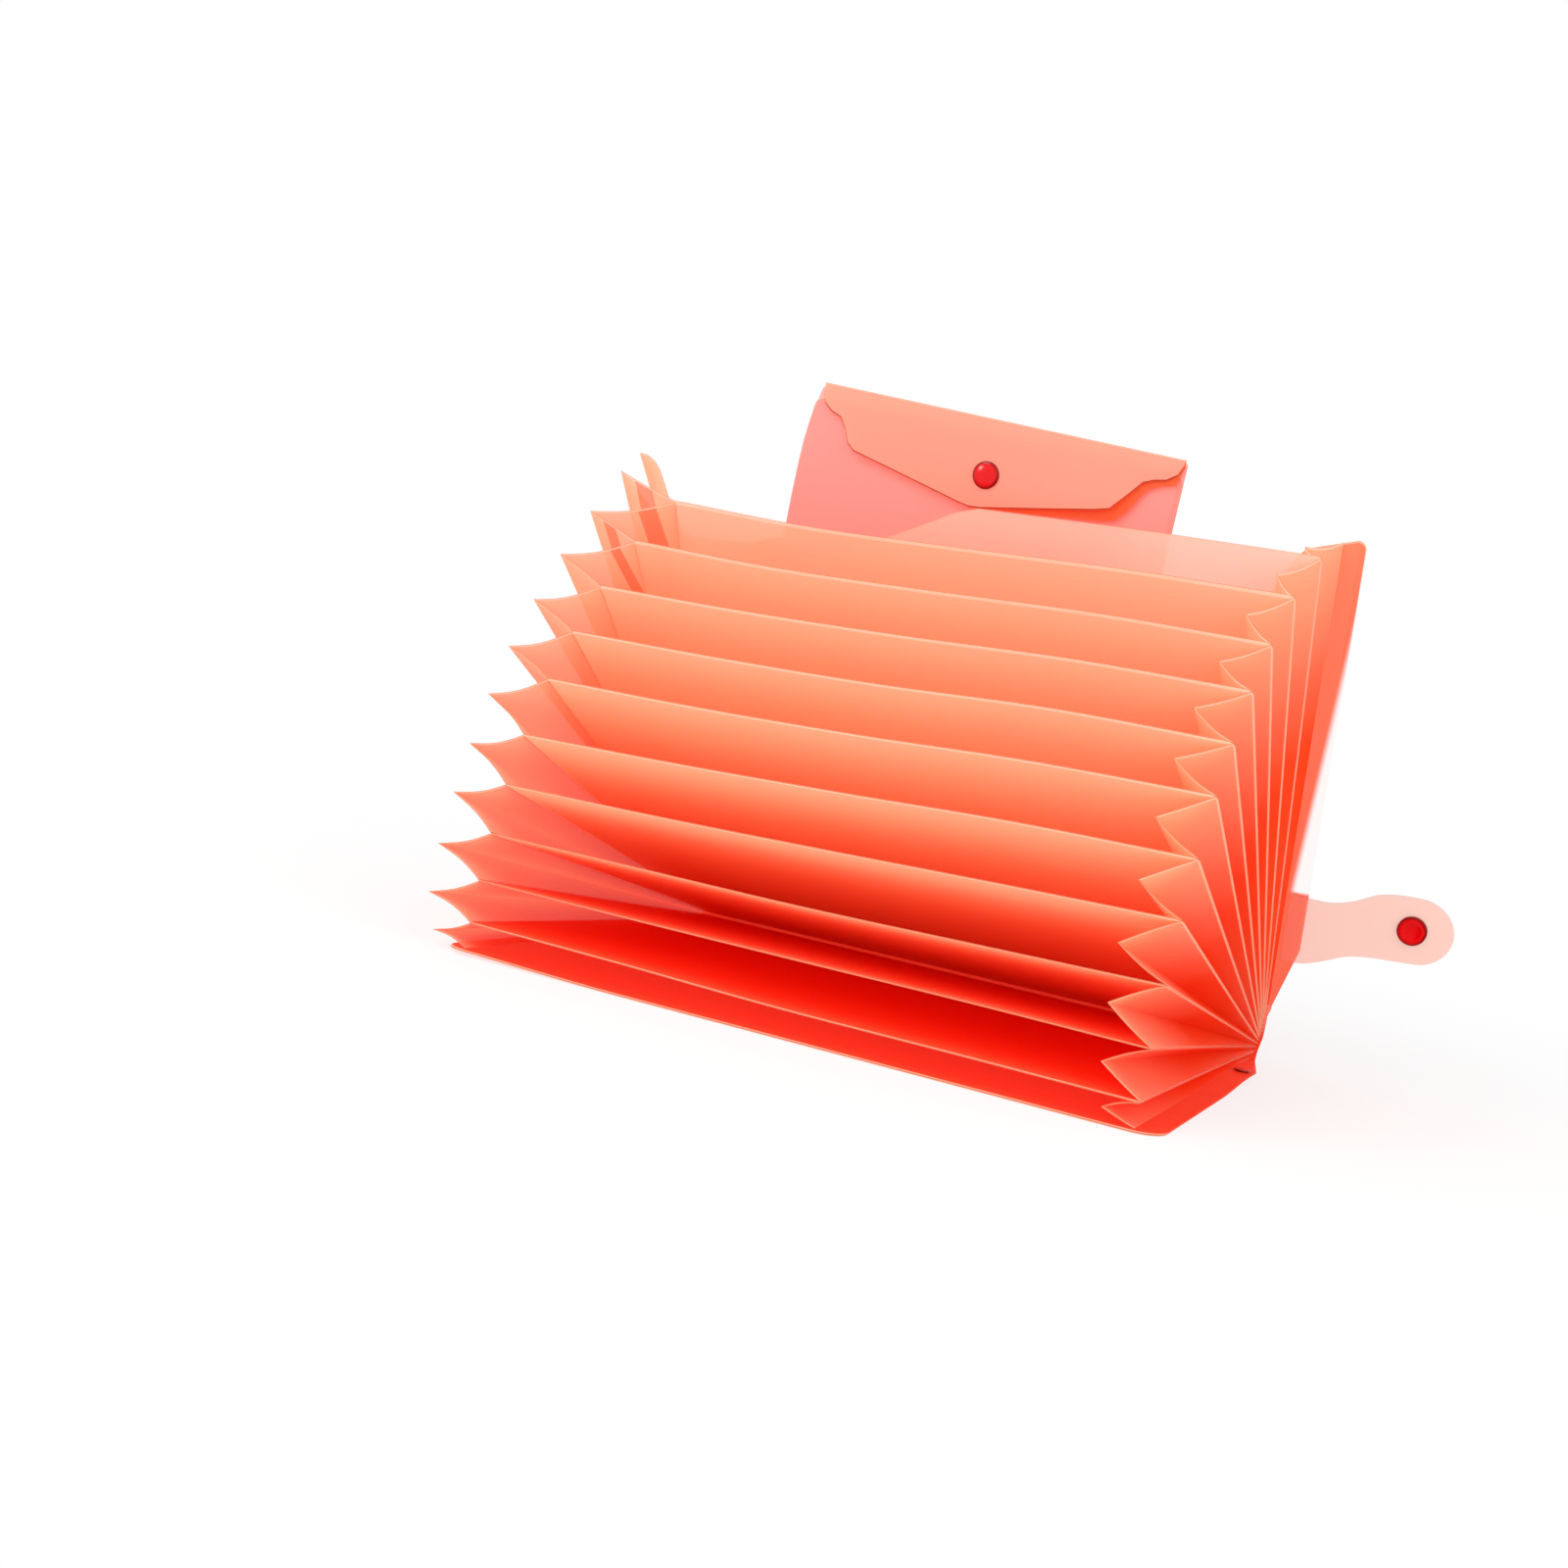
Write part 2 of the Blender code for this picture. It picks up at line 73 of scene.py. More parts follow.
# Sizes of the sheets, as in the part's source
divider_width = 0.310
divider_height = 0.230
divider_thickness = 0.0005
cover_thickness = 0.0007
cover_side_margin = 0.010
cover_top_margin = 0.003
cover_corner_radius = 0.012
cover_foot_inset = 0.009
front_foot_height = 0.044
back_foot_height = 0.030
divider_corner_radius = 0.003
seat_gap = 0.0003
front_pocket_depth = 0.004
pocket_depth = 0.0025
rear_pocket_depth = 0.008
pocket_count = 12
fan_steps = (2.1, 4.6, 5.2, 5.5, 5.7, 6.6, 6.1, 6.5, 7.2, 9.3, 12.2, 9.5)
spine_edge_reach = 0.0007
spine_bulge = 0.009
rest_point_from_spine = 0.160
hump_height = 0.0017
hump_length = 0.120
ear_width = 0.026
ear_corner_radius = 0.004
ear_drop = 0.0018
ear_slant = 0.29
recess_depth = 0.035
recess_slope_width = 0.020
recess_left_drop = 0.010
recess_left_width = 0.045
recess_left_radius = 0.015
slant_start_from_centre = 0.016
slant_drop = 0.066
gusset_thickness = 0.0004
pleat_foot_depth = 0.0008
weld_lap = 0.0008

strap_thickness = 0.0005
strap_length = 0.078
strap_width = 0.034
strap_foot_height = 0.024
strap_inner_clearance = 0.0015
strap_crease_overhang = 0.0033
strap_wrap_length = 0.0383
strap_round_start_share = 0.78
strap_snap_end_distance = 0.0192
strap_edge_places = (0.0, 0.13, 0.26, 0.39, 0.52, 0.65, 0.78)
strap_low_shares = (0.0, 0.0, 0.105, 0.237, 0.297, 0.318, 0.335)
strap_high_shares = (1.0, 0.975, 0.983, 1.071, 1.225, 1.285, 1.295)

envelope_width = 0.198
envelope_height = 0.256
envelope_thickness = 0.0004
envelope_corner_radius = 0.004
envelope_tilt_degrees = -5.4
envelope_top_centre_from_middle = -0.023
envelope_top_centre_height = 0.267
envelope_front_inset = 0.006
flap_fold_rise = 0.0009
flap_lift_degrees = 2.2
flap_snap_distance = 0.027

half_divider = divider_width / 2
half_cover = half_divider + cover_side_margin
half_spine = half_cover - cover_foot_inset
cover_height = divider_height + cover_top_margin

# How far each sheet's top edge bows towards its front, in millimetres, at five places across.
# The first row is the front cover, the last one the back cover. The bow grows with the height.
millimetre = 0.001
bow_power = 1.7
bow_places = (-0.155, -0.078, 0.0, 0.078, 0.155)
top_bows = (
    (-1.6, 0.0, 0.0, 0.0, 0.0),
    (-1.4, -0.4, 1.2, 1.3, 1.6),
    (0.3, 0.9, 1.1, 1.1, 1.8),
    (1.9, 2.3, 2.6, 1.5, 0.3),
    (3.5, 3.2, 1.9, 0.2, -1.0),
    (4.5, 3.7, 1.7, -0.9, -1.2),
    (4.2, 4.6, 3.2, 0.2, 0.1),
    (3.9, 4.6, 3.6, 0.3, 1.4),
    (3.0, 4.4, 3.4, 0.7, 1.9),
    (-0.8, 3.8, 3.2, 1.1, 3.4),
    (-2.6, 5.0, 4.6, 2.6, 5.0),
    (-1.8, 1.5, 1.2, 1.6, 6.4),
    (0.0, 0.0, 0.0, 0.0, 0.0),
)

# Fold line of each pleat at its top: how far from the sheets' edge and how high, front pocket first
left_pleat_tips = (
    (0.0200, 0.226), (0.0240, 0.229), (0.0235, 0.231), (0.0225, 0.232), (0.0270, 0.226),
    (0.0300, 0.223), (0.0325, 0.222), (0.0315, 0.225), (0.0320, 0.228), (0.0350, 0.230),
    (0.0440, 0.232), (0.0583, 0.2308),
)
right_pleat_tips = (
    (0.0140, 0.233), (0.0175, 0.233), (0.0200, 0.232), (0.0230, 0.226), (0.0200, 0.232),
    (0.0206, 0.231), (0.0211, 0.2296), (0.0210, 0.228), (0.0190, 0.2266), (0.0174, 0.2265),
    (0.0156, 0.2255), (0.0138, 0.2275),
)


# ---- where the sheets stand

def pocket_depth_of(pocket):
    if pocket == 1:
        return front_pocket_depth
    if pocket == pocket_count:
        return rear_pocket_depth
    return pocket_depth


def sheet_turn(angle):
    """Rotation of a sheet's own frame, opened by an angle from the table."""
    return Matrix.Rotation(pi - angle, 4, "X")


def find_sheet_frames():
    """Each sheet's frame and each pocket's hinge line, from the front cover to the back cover."""
    frames = [Matrix.Translation((0, rest_point_from_spine, cover_thickness / 2)) @ sheet_turn(0)]
    hinges = [None]
    angle = 0.0
    for pocket in range(1, pocket_count + 1):
        half = pocket_depth_of(pocket) / 2
        hinge = frames[-1] @ Vector((0, 0, -half))
        angle += radians(fan_steps[pocket - 1])
        turned = sheet_turn(angle)
        frames.append(Matrix.Translation(hinge) @ turned @ Matrix.Translation((0, 0, -half)))
        hinges.append(hinge)
    return frames, hinges


sheet_frames, hinge_points = find_sheet_frames()
back_frame = sheet_frames[pocket_count]
body_names = ["front"] + [f"leaf_{k:02d}" for k in range(1, pocket_count)] + ["back"]


def smooth_share(value, low, high):
    share = min(1.0, max(0.0, (value - low) / (high - low)))
    return share * share * (3 - 2 * share)


def spread(start, end, count):
    """Evenly spaced places from a start to an end, both included."""
    return [start + (end - start) * step / count for step in range(count + 1)]


def along_table(table, x):
    """Value at x in a table of (place, value): straight between its rows, level beyond them."""
    for (x0, y0), (x1, y1) in zip(table, table[1:]):
        if x <= x1:
            return y0 + (y1 - y0) * max(0.0, (x - x0) / (x1 - x0))
    return table[-1][1]


def smooth_run(run, low, slope_low, high, slope_high):
    """Curve from one value to another with a given slope at each, as run goes from 0 to 1."""
    return ((2 * run**3 - 3 * run**2 + 1) * low + (run**3 - 2 * run**2 + run) * slope_low
            + (3 * run**2 - 2 * run**3) * high + (run**3 - run**2) * slope_high)


def through_points(places, values, x):
    """Smooth curve through a few values."""
    last = len(places) - 1
    x = min(places[last], max(places[0], x))
    index = max(i for i in range(last) if places[i] <= x)
    run = (x - places[index]) / (places[index + 1] - places[index])
    before = values[index - 1] if index else 2 * values[0] - values[1]
    after = values[index + 2] if index + 2 <= last else 2 * values[last] - values[last - 1]
    low, high = values[index], values[index + 1]
    return smooth_run(run, low, (high - before) / 2, high, (after - low) / 2)


def hump(distance):
    """How far the front cover arches off the table at a distance from the spine."""
    if distance <= 0 or distance >= hump_length:
        return 0.0
    return hump_height * sin(pi * distance / hump_length) ** 2


def bow(sheet, x, y):
    """How far a sheet stands out of its plane, in metres, towards its front."""
    rise = max(0.0, y / divider_height) ** bow_power
    out = through_points(bow_places, top_bows[sheet], x) * millimetre * rise
    if sheet == 0:
        out = min(0.0, out) - hump(y)
    return out


def on_sheet(sheet, x, y, out=0.0):
    """Point on a sheet, with its bow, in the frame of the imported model."""
    return sheet_frames[sheet] @ Vector((x, y, bow(sheet, x, y) + out))


def direction(frame, x, y, z):
    return frame.to_3x3() @ Vector((x, y, z))


def moved(frame, x, y, z):
    return frame @ Matrix.Translation((x, y, z))


# ---- mesh work

def new_object(name, surface, materials):
    mesh = bpy.data.meshes.new(name)
    surface.to_mesh(mesh)
    surface.free()
    for material in materials:
        mesh.materials.append(material)
    piece = bpy.data.objects.new(name, mesh)
    bpy.context.scene.collection.objects.link(piece)
    return piece


def fill_faces(surface, verts, faces, **maps):
    """Smooth faces between (row, place) corners, with the value of each UV map there."""
    layers = [(surface.loops.layers.uv.new(label), value) for label, value in maps.items()]
    for corners in faces:
        face = surface.faces.new([verts[a][b] for a, b in corners])
        face.smooth = True
        for loop, (a, b) in zip(face.loops, corners):
            for layer, value in layers:
                loop[layer].uv = value(a, b)


def grid_piece(name, columns, thickness, materials, sharp_column=None, stack=0.0, even=True):
    """A thin wall from columns of (point, lay, edge). Its rim takes the last material.

    lay is the place on the flat sheet and edge the distance from its top and right edges, both
    kept as UV maps for the materials. stack is 1 for a piece deep in the shut part of the fan.
    """
    surface = bmesh.new()
    verts = [[surface.verts.new(values[0]) for values in column] for column in columns]
    faces = [((i, j), (i + 1, j), (i + 1, j + 1), (i, j + 1))
             for i in range(len(columns) - 1) for j in range(len(columns[0]) - 1)]
    fill_faces(surface, verts, faces, lay=lambda a, b: columns[a][b][1],
               edge=lambda a, b: columns[a][b][2], stack=lambda a, b: (stack, 0.5))
    if sharp_column is not None:
        for pair in zip(verts[sharp_column], verts[sharp_column][1:]):
            surface.edges.get(pair).smooth = False
    for edge in surface.edges:
        if edge.is_boundary:
            edge.smooth = False
    piece = new_object(name, surface, materials)
    wall = piece.modifiers.new("thickness", "SOLIDIFY")
    wall.thickness = thickness
    wall.offset = 0
    wall.use_even_offset = even
    wall.material_offset_rim = len(materials) - 1
    return piece


def sheet_piece(name, stations, rows, place, thickness, materials, stack=0.0):
    """A sheet between a lower and an upper edge: stations are (x, low, high)."""
    right = stations[-1][0]
    columns = []
    for x, low, high in stations:
        heights = [low + (high - low) * share for share in rows]
        columns.append([(place(x, y), (x, y), (high - y, right - x)) for y in heights])
    return grid_piece(name, columns, thickness, materials, stack=stack)


def rounded_ends(half, low, high, radius, low_radius=0.0):
    """Stations of a sheet with rounded top corners, and rounded lower ones if wanted."""
    reach = max(radius, low_radius)
    corner = [half - reach * (1 - sin(turn)) for turn in spread(0, pi / 2, 5)]
    middle = spread(reach - half, half - reach, 26)[1:-1]
    return [(x, low + corner_cut(half - abs(x), low_radius),
             high - corner_cut(half - abs(x), radius))
            for x in [-x for x in reversed(corner)] + middle + corner]


def corner_cut(from_side, radius):
    if radius == 0 or from_side >= radius:
        return 0.0
    across = radius - from_side
    return radius - sqrt(max(0.0, radius * radius - across * across))


def even_rows(count, top_rows=2, top_share=0.012):
    """Even shares of a sheet's height, and closer ones just under its top edge."""
    return spread(0, 1 - top_share, count) + spread(1 - top_share, 1, top_rows)[1:]


def finish_piece(piece, body, slot, *nodes):
    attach(piece, body)
    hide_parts(*nodes)


def add_sheet(node, stations, rows, place, thickness, materials, body, slot, stack=0.0):
    piece = sheet_piece(f"{node}_sheet", stations, rows, place, thickness, materials, stack)
    finish_piece(piece, body, slot, node)


def finish_blend(piece, first, second, start, end, slot, weights, *nodes):
    """A piece that crosses a joint, baked into the model's frame as it stands."""
    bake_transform(piece)
    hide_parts(*nodes)


def finish_in_pocket(piece, pocket, y, slot, weights, node):
    """A piece between the two sheets of a pocket."""
    finish_blend(piece, body_names[pocket - 1], body_names[pocket], on_sheet(pocket - 1, 0, y),
                 on_sheet(pocket, 0, y), slot, weights, node)


# ---- shader groups

class Wiring:
    """Short hand for a node tree that is being filled."""

    def __init__(self, tree):
        self.tree = tree

    def node(self, kind, **values):
        item = self.tree.nodes.new(f"ShaderNode{kind}")
        for key, value in values.items():
            setattr(item, key, value)
        return item

    def link(self, source, target):
        self.tree.links.new(source, target)

    def math(self, operation, first, second=0.0, clamp=False):
        item = self.node("Math", operation=operation, use_clamp=clamp)
        self.feed(item.inputs[0], first)
        self.feed(item.inputs[1], second)
        return item.outputs[0]

    def times(self, first, second):
        return self.math("MULTIPLY", first, second)

    def plus(self, first, second, clamp=False):
        return self.math("ADD", first, second, clamp)

    def feed(self, socket, value):
        if isinstance(value, bpy.types.NodeSocket):
            self.link(value, socket)
        else:
            socket.default_value = value

    def map(self, label):
        """Place on one of the piece's UV maps."""
        return self.node("UVMap", uv_map=label).outputs[0]

    def axes(self, vector):
        """The X, Y and Z of a vector, as sockets by name."""
        item = self.node("SeparateXYZ")
        self.link(vector, item.inputs[0])
        return item.outputs

    def mix(self, factor, first, second):
        item = self.node("Mix", data_type="RGBA")
        self.feed(item.inputs[0], factor)
        self.feed(item.inputs[6], first)
        self.feed(item.inputs[7], second)
        return item.outputs[2]

    def ramp(self, value, low, high, out_low=0.0, out_high=1.0, smooth=True):
        item = self.node("MapRange", clamp=True)
        item.interpolation_type = "SMOOTHSTEP" if smooth else "LINEAR"
        for socket, number in zip(item.inputs, (value, low, high, out_low, out_high)):
            self.feed(socket, number)
        return item.outputs[0]

    def blend(self, share, first, second):
        """One shader, passing over into a second."""
        item = self.node("MixShader")
        self.feed(item.inputs[0], share)
        self.link(first, item.inputs[1])
        self.link(second, item.inputs[2])
        return item.outputs[0]

    def seen_plainly(self):
        """1 for what the camera sees straight on, mirrored, or through something clear."""
        path = self.node("LightPath")
        seen = self.plus(path.outputs["Is Camera Ray"], path.outputs["Is Glossy Ray"], clamp=True)
        return self.plus(seen, path.outputs["Is Transmission Ray"], clamp=True)

    def bump(self, height, strength, distance):
        item = self.node("Bump")
        set_values(item, {"Strength": strength, "Distance": distance})
        self.link(height, item.inputs["Height"])
        return item.outputs[0]

    def noise(self, vector, scale, detail=2.0, roughness=0.5):
        item = self.node("TexNoise")
        self.link(vector, item.inputs["Vector"])
        set_values(item, {"Scale": scale, "Detail": detail, "Roughness": roughness})
        return item.outputs["Fac"]


def new_material(name):
    material = bpy.data.materials.new(name)
    material.use_nodes = True
    nodes = material.node_tree.nodes
    return material, Wiring(material.node_tree), nodes["Principled BSDF"], nodes["Material Output"]


def set_values(node, values):
    for label, value in values.items():
        node.inputs[label].default_value = value


def new_group(name, inputs, outputs):
    """A node group with its sockets, given as kind: labels."""
    tree = bpy.data.node_groups.new(name, "ShaderNodeTree")
    for side, sockets in (("INPUT", inputs), ("OUTPUT", outputs)):
        for kind, labels in sockets.items():
            for label in labels:
                tree.interface.new_socket(label, in_out=side, socket_type=f"NodeSocket{kind}")
    given, result = tree.nodes.new("NodeGroupInput"), tree.nodes.new("NodeGroupOutput")
    return tree, Wiring(tree), given.outputs, result.inputs


def make_film_tone():
    """Colour of the plastic, with painted shade: deep by the spine and low in the stack; painted
    lines at the cut edges.
    """
    tree, wires, given, result = new_group("film_tone", {
        "Vector": ("Lay", "Edge", "Stack"),
        "Color": ("Pale", "Deep", "Low", "Rim"),
        "Float": ("Deep At", "Pale At", "Rim Width", "Side Rim", "Weld Shade Width", "Weld Shade Share"),
    }, {"Color": ("Color",)})
    cloud_share, rim_softness = 0.24, 1.35
    edge = wires.axes(given["Edge"])
    # Painted shade: the colour deepens towards the lower end of a piece, by the spine, where the
    # pockets are shaded
    height = wires.ramp(wires.axes(given["Lay"])["Y"], given["Deep At"], given["Pale At"])
    cloud = wires.math("SUBTRACT", wires.noise(given["Lay"], 16.0, 3.0, 0.55), 0.5)
    height = wires.plus(height, wires.times(cloud, cloud_share), clamp=True)
    colour = wires.mix(height, given["Deep"], given["Pale"])
    # Painted shade: pieces low in the shut part of the fan take the low colour
    colour = wires.mix(wires.axes(given["Stack"])["X"], colour, given["Low"])
    # Painted shade in the low colour: along a sheet's welded right edge, and on a pleat across its
    # darker band
    weld_shade = wires.math("LESS_THAN", wires.math("ABSOLUTE", edge["Y"]), given["Weld Shade Width"])
    colour = wires.mix(wires.times(weld_shade, given["Weld Shade Share"]), colour, given["Low"])
    # The rim colour paints a thin line along the cut edges: a pale one is a painted highlight where
    # the edges catch the light, a dark one a painted shade line
    rim_end = wires.times(given["Rim Width"], rim_softness)
    rim = wires.ramp(edge["X"], given["Rim Width"], rim_end, 1.0, 0.0)
    side = wires.ramp(edge["Y"], given["Rim Width"], rim_end, 1.0, 0.0)
    rim = wires.math("MAXIMUM", rim, wires.times(side, given["Side Rim"]))
    wires.link(wires.mix(rim, colour, given["Rim"]), result["Color"])
    return tree


def make_film_grain():
    """Fine rolled grain of the plastic, with faint lengthwise drawing lines and scuffs."""
    tree, wires, given, result = new_group(
        "film_grain", {"Vector": ("Lay",), "Float": ("Roughness",)},
        {"Float": ("Height", "Roughness")})
    line_stretch = (900.0, 18.0, 1.0)
    grain_height, line_height, wave_height = 0.35, 0.25, 2.2
    scuff_from, scuff_to, scuff_share = 0.52, 0.70, 0.10
    stretch = wires.node("VectorMath", operation="MULTIPLY")
    wires.link(given["Lay"], stretch.inputs[0])
    stretch.inputs[1].default_value = line_stretch
    grain = wires.noise(given["Lay"], 1400.0, 2.0, 0.6)
    lines = wires.noise(stretch.outputs[0], 1.0, 1.0, 0.4)
    waves = wires.noise(given["Lay"], 34.0, 1.0, 0.4)
    height = wires.plus(wires.times(grain, grain_height), wires.times(lines, line_height))
    wires.link(wires.plus(height, wires.times(waves, wave_height)), result["Height"])
    scuff = wires.ramp(wires.noise(given["Lay"], 60.0, 5.0, 0.7), scuff_from, scuff_to)
    rough = wires.plus(given["Roughness"], wires.times(scuff, scuff_share))
    wires.link(rough, result["Roughness"])
    return tree


film_tone = make_film_tone()
film_grain = make_film_grain()


def srgb(colour):
    """Linear colour from the three values of a screen colour."""
    def straight(value):
        value /= 255
        return value / 12.92 if value <= 0.04045 else ((value + 0.055) / 1.055) ** 2.4
    return (*map(straight, colour), 1.0)


# Painted highlight on the back cover's right margin, where the film is made clear: between two
# heights, beyond a slanting line
highlight_low, highlight_high = 0.058, 0.200
highlight_low_x, highlight_high_x = 0.1556, 0.1650
highlight_from, highlight_to = -0.0006, 0.0032
highlight_foot_from, highlight_foot_to = 0.0575, 0.0595


def margin_highlight_wedge(wires, lay):
    """1 on the outer part of the right margin, a wedge from the ear down to the strap, painted as a
    highlight by making the film clear.
    """
    place = wires.axes(lay)
    line = wires.ramp(place["Y"], highlight_low, highlight_high, highlight_low_x, highlight_high_x, smooth=False)
    beyond = wires.ramp(wires.math("SUBTRACT", place["X"], line), highlight_from, highlight_to)
    above = wires.ramp(place["Y"], highlight_foot_from, highlight_foot_to)
    return wires.times(beyond, above)


film_ior = 1.40
film_shine = 0.10
film_relief = 0.0004


def clear_film(name, rim, face, glow, through, clear, roughness, bump=0.12, deep_at=0.03,
               pale_at=0.225, rim_width=0.0013, side_rim=0.0, weld_shade_width=0.003, weld_shade_share=0.14,
               painted_margin_highlight=0.0):
    """Coral plastic film: a satin surface, a warmer colour for the light that comes through it,
    and a share that is simply seen through. A wall counts once: its far face lets light pass.

    face and glow are each a pale colour, a deep one and the one low in the stack; the deep and low
    ones are painted shade.
    """
    material, wires, shader, output = new_material(name)
    lay, edge, stack = [wires.map(label) for label in ("lay", "edge", "stack")]
    tones = []
    for pale, deep, low in (face, glow):
        tone = wires.node("Group", node_tree=film_tone)
        for label, source in (("Lay", lay), ("Edge", edge), ("Stack", stack)):
            wires.link(source, tone.inputs[label])
        set_values(tone, {
            "Pale": srgb(pale), "Deep": srgb(deep), "Low": srgb(low), "Rim": srgb(rim),
            "Deep At": deep_at, "Pale At": pale_at, "Rim Width": rim_width,
            "Side Rim": side_rim, "Weld Shade Width": weld_shade_width, "Weld Shade Share": weld_shade_share})
        tones.append(tone.outputs["Color"])
    grain = wires.node("Group", node_tree=film_grain)
    wires.link(lay, grain.inputs["Lay"])
    grain.inputs["Roughness"].default_value = roughness
    wires.link(tones[0], shader.inputs["Base Color"])
    wires.link(grain.outputs["Roughness"], shader.inputs["Roughness"])
    wires.link(wires.bump(grain.outputs["Height"], bump, film_relief), shader.inputs["Normal"])
    set_values(shader, {"IOR": film_ior, "Specular IOR Level": film_shine})
    glow = wires.node("BsdfTranslucent")
    wires.link(tones[1], glow.inputs["Color"])
    body = wires.blend(through, shader.outputs[0], glow.outputs[0])
    # Painted shade: pieces low in the stack are also made less see-through
    clear = wires.times(wires.math("SUBTRACT", 1.0, wires.axes(stack)["X"]), clear)
    # Painted highlight: the film turns clear on the wedge of the back cover's right margin
    if painted_margin_highlight:
        clear = wires.plus(wires.times(margin_highlight_wedge(wires, lay), painted_margin_highlight), clear)
    clear = wires.math("MAXIMUM", wires.node("NewGeometry").outputs["Backfacing"], clear)
    film = wires.blend(clear, body, wires.node("BsdfTransparent").outputs[0])
    wires.link(film, output.inputs["Surface"])
    return material


def snap_gloss(name, colour, dark, roughness, shine):
    """Red moulded snap: glossy, with painted shade darkening it towards its rim, a faint ripple and
    rubbed spots.
    """
    rim_from, rim_shade_share, cloud_share = 0.72, 0.75, 0.14
    rub_from, rub_to, rubbed_more = 0.5, 0.75, 0.14
    ripple_strength, ripple_height = 0.04, 0.0002
    material, wires, shader, _ = new_material(name)
    lay = wires.map("lay")
    # Painted shade: the colour darkens towards the rim
    rim = wires.ramp(wires.axes(wires.map("edge"))["X"], rim_from, 1.0)
    cloud = wires.noise(lay, 420.0, 3.0, 0.6)
    shade = wires.plus(wires.times(rim, rim_shade_share), wires.times(cloud, cloud_share), clamp=True)
    rub = wires.ramp(wires.noise(lay, 900.0, 4.0, 0.7), rub_from, rub_to,
                     roughness, roughness + rubbed_more)
    ripple = wires.bump(wires.noise(lay, 260.0, 2.0, 0.5), ripple_strength, ripple_height)
    wires.link(wires.mix(shade, srgb(colour), srgb(dark)), shader.inputs["Base Color"])
    wires.link(rub, shader.inputs["Roughness"])
    wires.link(ripple, shader.inputs["Normal"])
    set_values(shader, {"IOR": 1.5, "Specular IOR Level": shine,
                        "Coat Weight": shine / 2, "Coat Roughness": 0.06})
    return material


# Width of the painted shade along a sheet's welded right edge, in the low colour. On a pleat, its
# painted shade band takes its place
no_weld_shade = -1.0
whole_shade_band = 1.0
# Divider film: its pale rim and side rim paint highlights along the top and right edges
divider_film = clear_film(
    "divider_film", (255, 225, 196),
    ((255, 209, 176), (255, 200, 152), (253, 92, 48)),
    ((255, 188, 146), (255, 180, 122), (253, 86, 34)),
    through=0.57, clear=0.06, roughness=0.40, rim_width=0.0015, side_rim=0.7)
rear_divider_film = clear_film(
    "rear_divider_film", (255, 212, 188),
    ((255, 224, 206), (255, 170, 128), (255, 140, 96)),
    ((255, 208, 184), (255, 144, 94), (255, 130, 76)),
    through=0.50, clear=0.07, roughness=0.40, rim_width=0.0008, side_rim=0.8)
# The covers' low colour is painted shade, taken by the front cover and the spine at the bottom of
# the fan
cover_shades = (((255, 136, 92), (255, 120, 78), (252, 60, 34)),
                ((255, 110, 62), (255, 92, 44), (252, 52, 20)))
front_cover_film = clear_film(
    "front_cover_film", (255, 208, 180), *cover_shades,
    through=0.45, clear=0.12, roughness=0.36, bump=0.16, rim_width=0.0010)
# The back cover's right margin carries a painted highlight, a wedge where the film turns clear
back_cover_film = clear_film(
    "back_cover_film", (255, 176, 142), *cover_shades,
    through=0.45, clear=0.05, roughness=0.36, bump=0.16, rim_width=0.0008, painted_margin_highlight=0.88)
pleat_film = clear_film(
    "pleat_film", (255, 208, 180),
    ((255, 204, 170), (255, 118, 70), (253, 94, 48)),
    ((255, 178, 136), (255, 96, 44), (253, 84, 34)),
    through=0.48, clear=0.08, roughness=0.42, bump=0.14, rim_width=0.0007,
    weld_shade_width=whole_shade_band, weld_shade_share=0.62)
# The right pleats, folded into the fan, deepen sooner and further than the left ones: painted shade
inner_pleat_film = clear_film(
    "inner_pleat_film", (255, 214, 184),
    ((255, 206, 168), (254, 90, 36), (253, 76, 30)),
    ((255, 172, 124), (251, 70, 16), (253, 62, 16)),
    through=0.48, clear=0.03, roughness=0.42, bump=0.14, deep_at=0.12, pale_at=0.250,
    rim_width=0.0009, weld_shade_width=no_weld_shade)
pouch_film = clear_film(
    "pouch_film", (255, 216, 196),
    ((255, 188, 180), (255, 166, 154), (255, 120, 90)),
    ((255, 153, 145), (255, 132, 116), (255, 100, 60)),
    through=0.45, clear=0.08, roughness=0.38, deep_at=-0.25, pale_at=-0.02, rim_width=0.0010)
# The flap's dark rim is a painted shade line along its free edge
flap_film = clear_film(
    "flap_film", (188, 78, 52),
    ((255, 197, 172), (255, 176, 148), (255, 120, 90)),
    ((255, 155, 120), (255, 132, 98), (255, 100, 60)),
    through=0.45, clear=0.06, roughness=0.38, deep_at=-0.12, pale_at=-0.01, rim_width=0.0006)
# A painted shadow: the deep orange strip under the flap's lifted edge
flap_shadow_film = clear_film(
    "flap_shadow_film", (250, 132, 84),
    ((238, 130, 84), (238, 120, 72), (238, 120, 72)),
    ((242, 120, 70), (242, 108, 56), (242, 108, 56)),
    through=0.40, clear=0.05, roughness=0.45, weld_shade_width=no_weld_shade)
strap_glow = ((255, 194, 166), (255, 176, 144), (255, 176, 144))
strap_film = clear_film(
    "strap_film", (240, 190, 168),
    ((254, 210, 188), (253, 196, 172), (253, 196, 172)), strap_glow,
    through=0.45, clear=0.35, roughness=0.32, deep_at=0.15, pale_at=0.19, rim_width=0.0008,
    weld_shade_width=no_weld_shade)
strap_rim_film = clear_film(
    "strap_rim_film", (246, 196, 176),
    ((250, 200, 178), (250, 196, 172), (250, 196, 172)), strap_glow,
    through=0.45, clear=0.82, roughness=0.32, weld_shade_width=no_weld_shade)
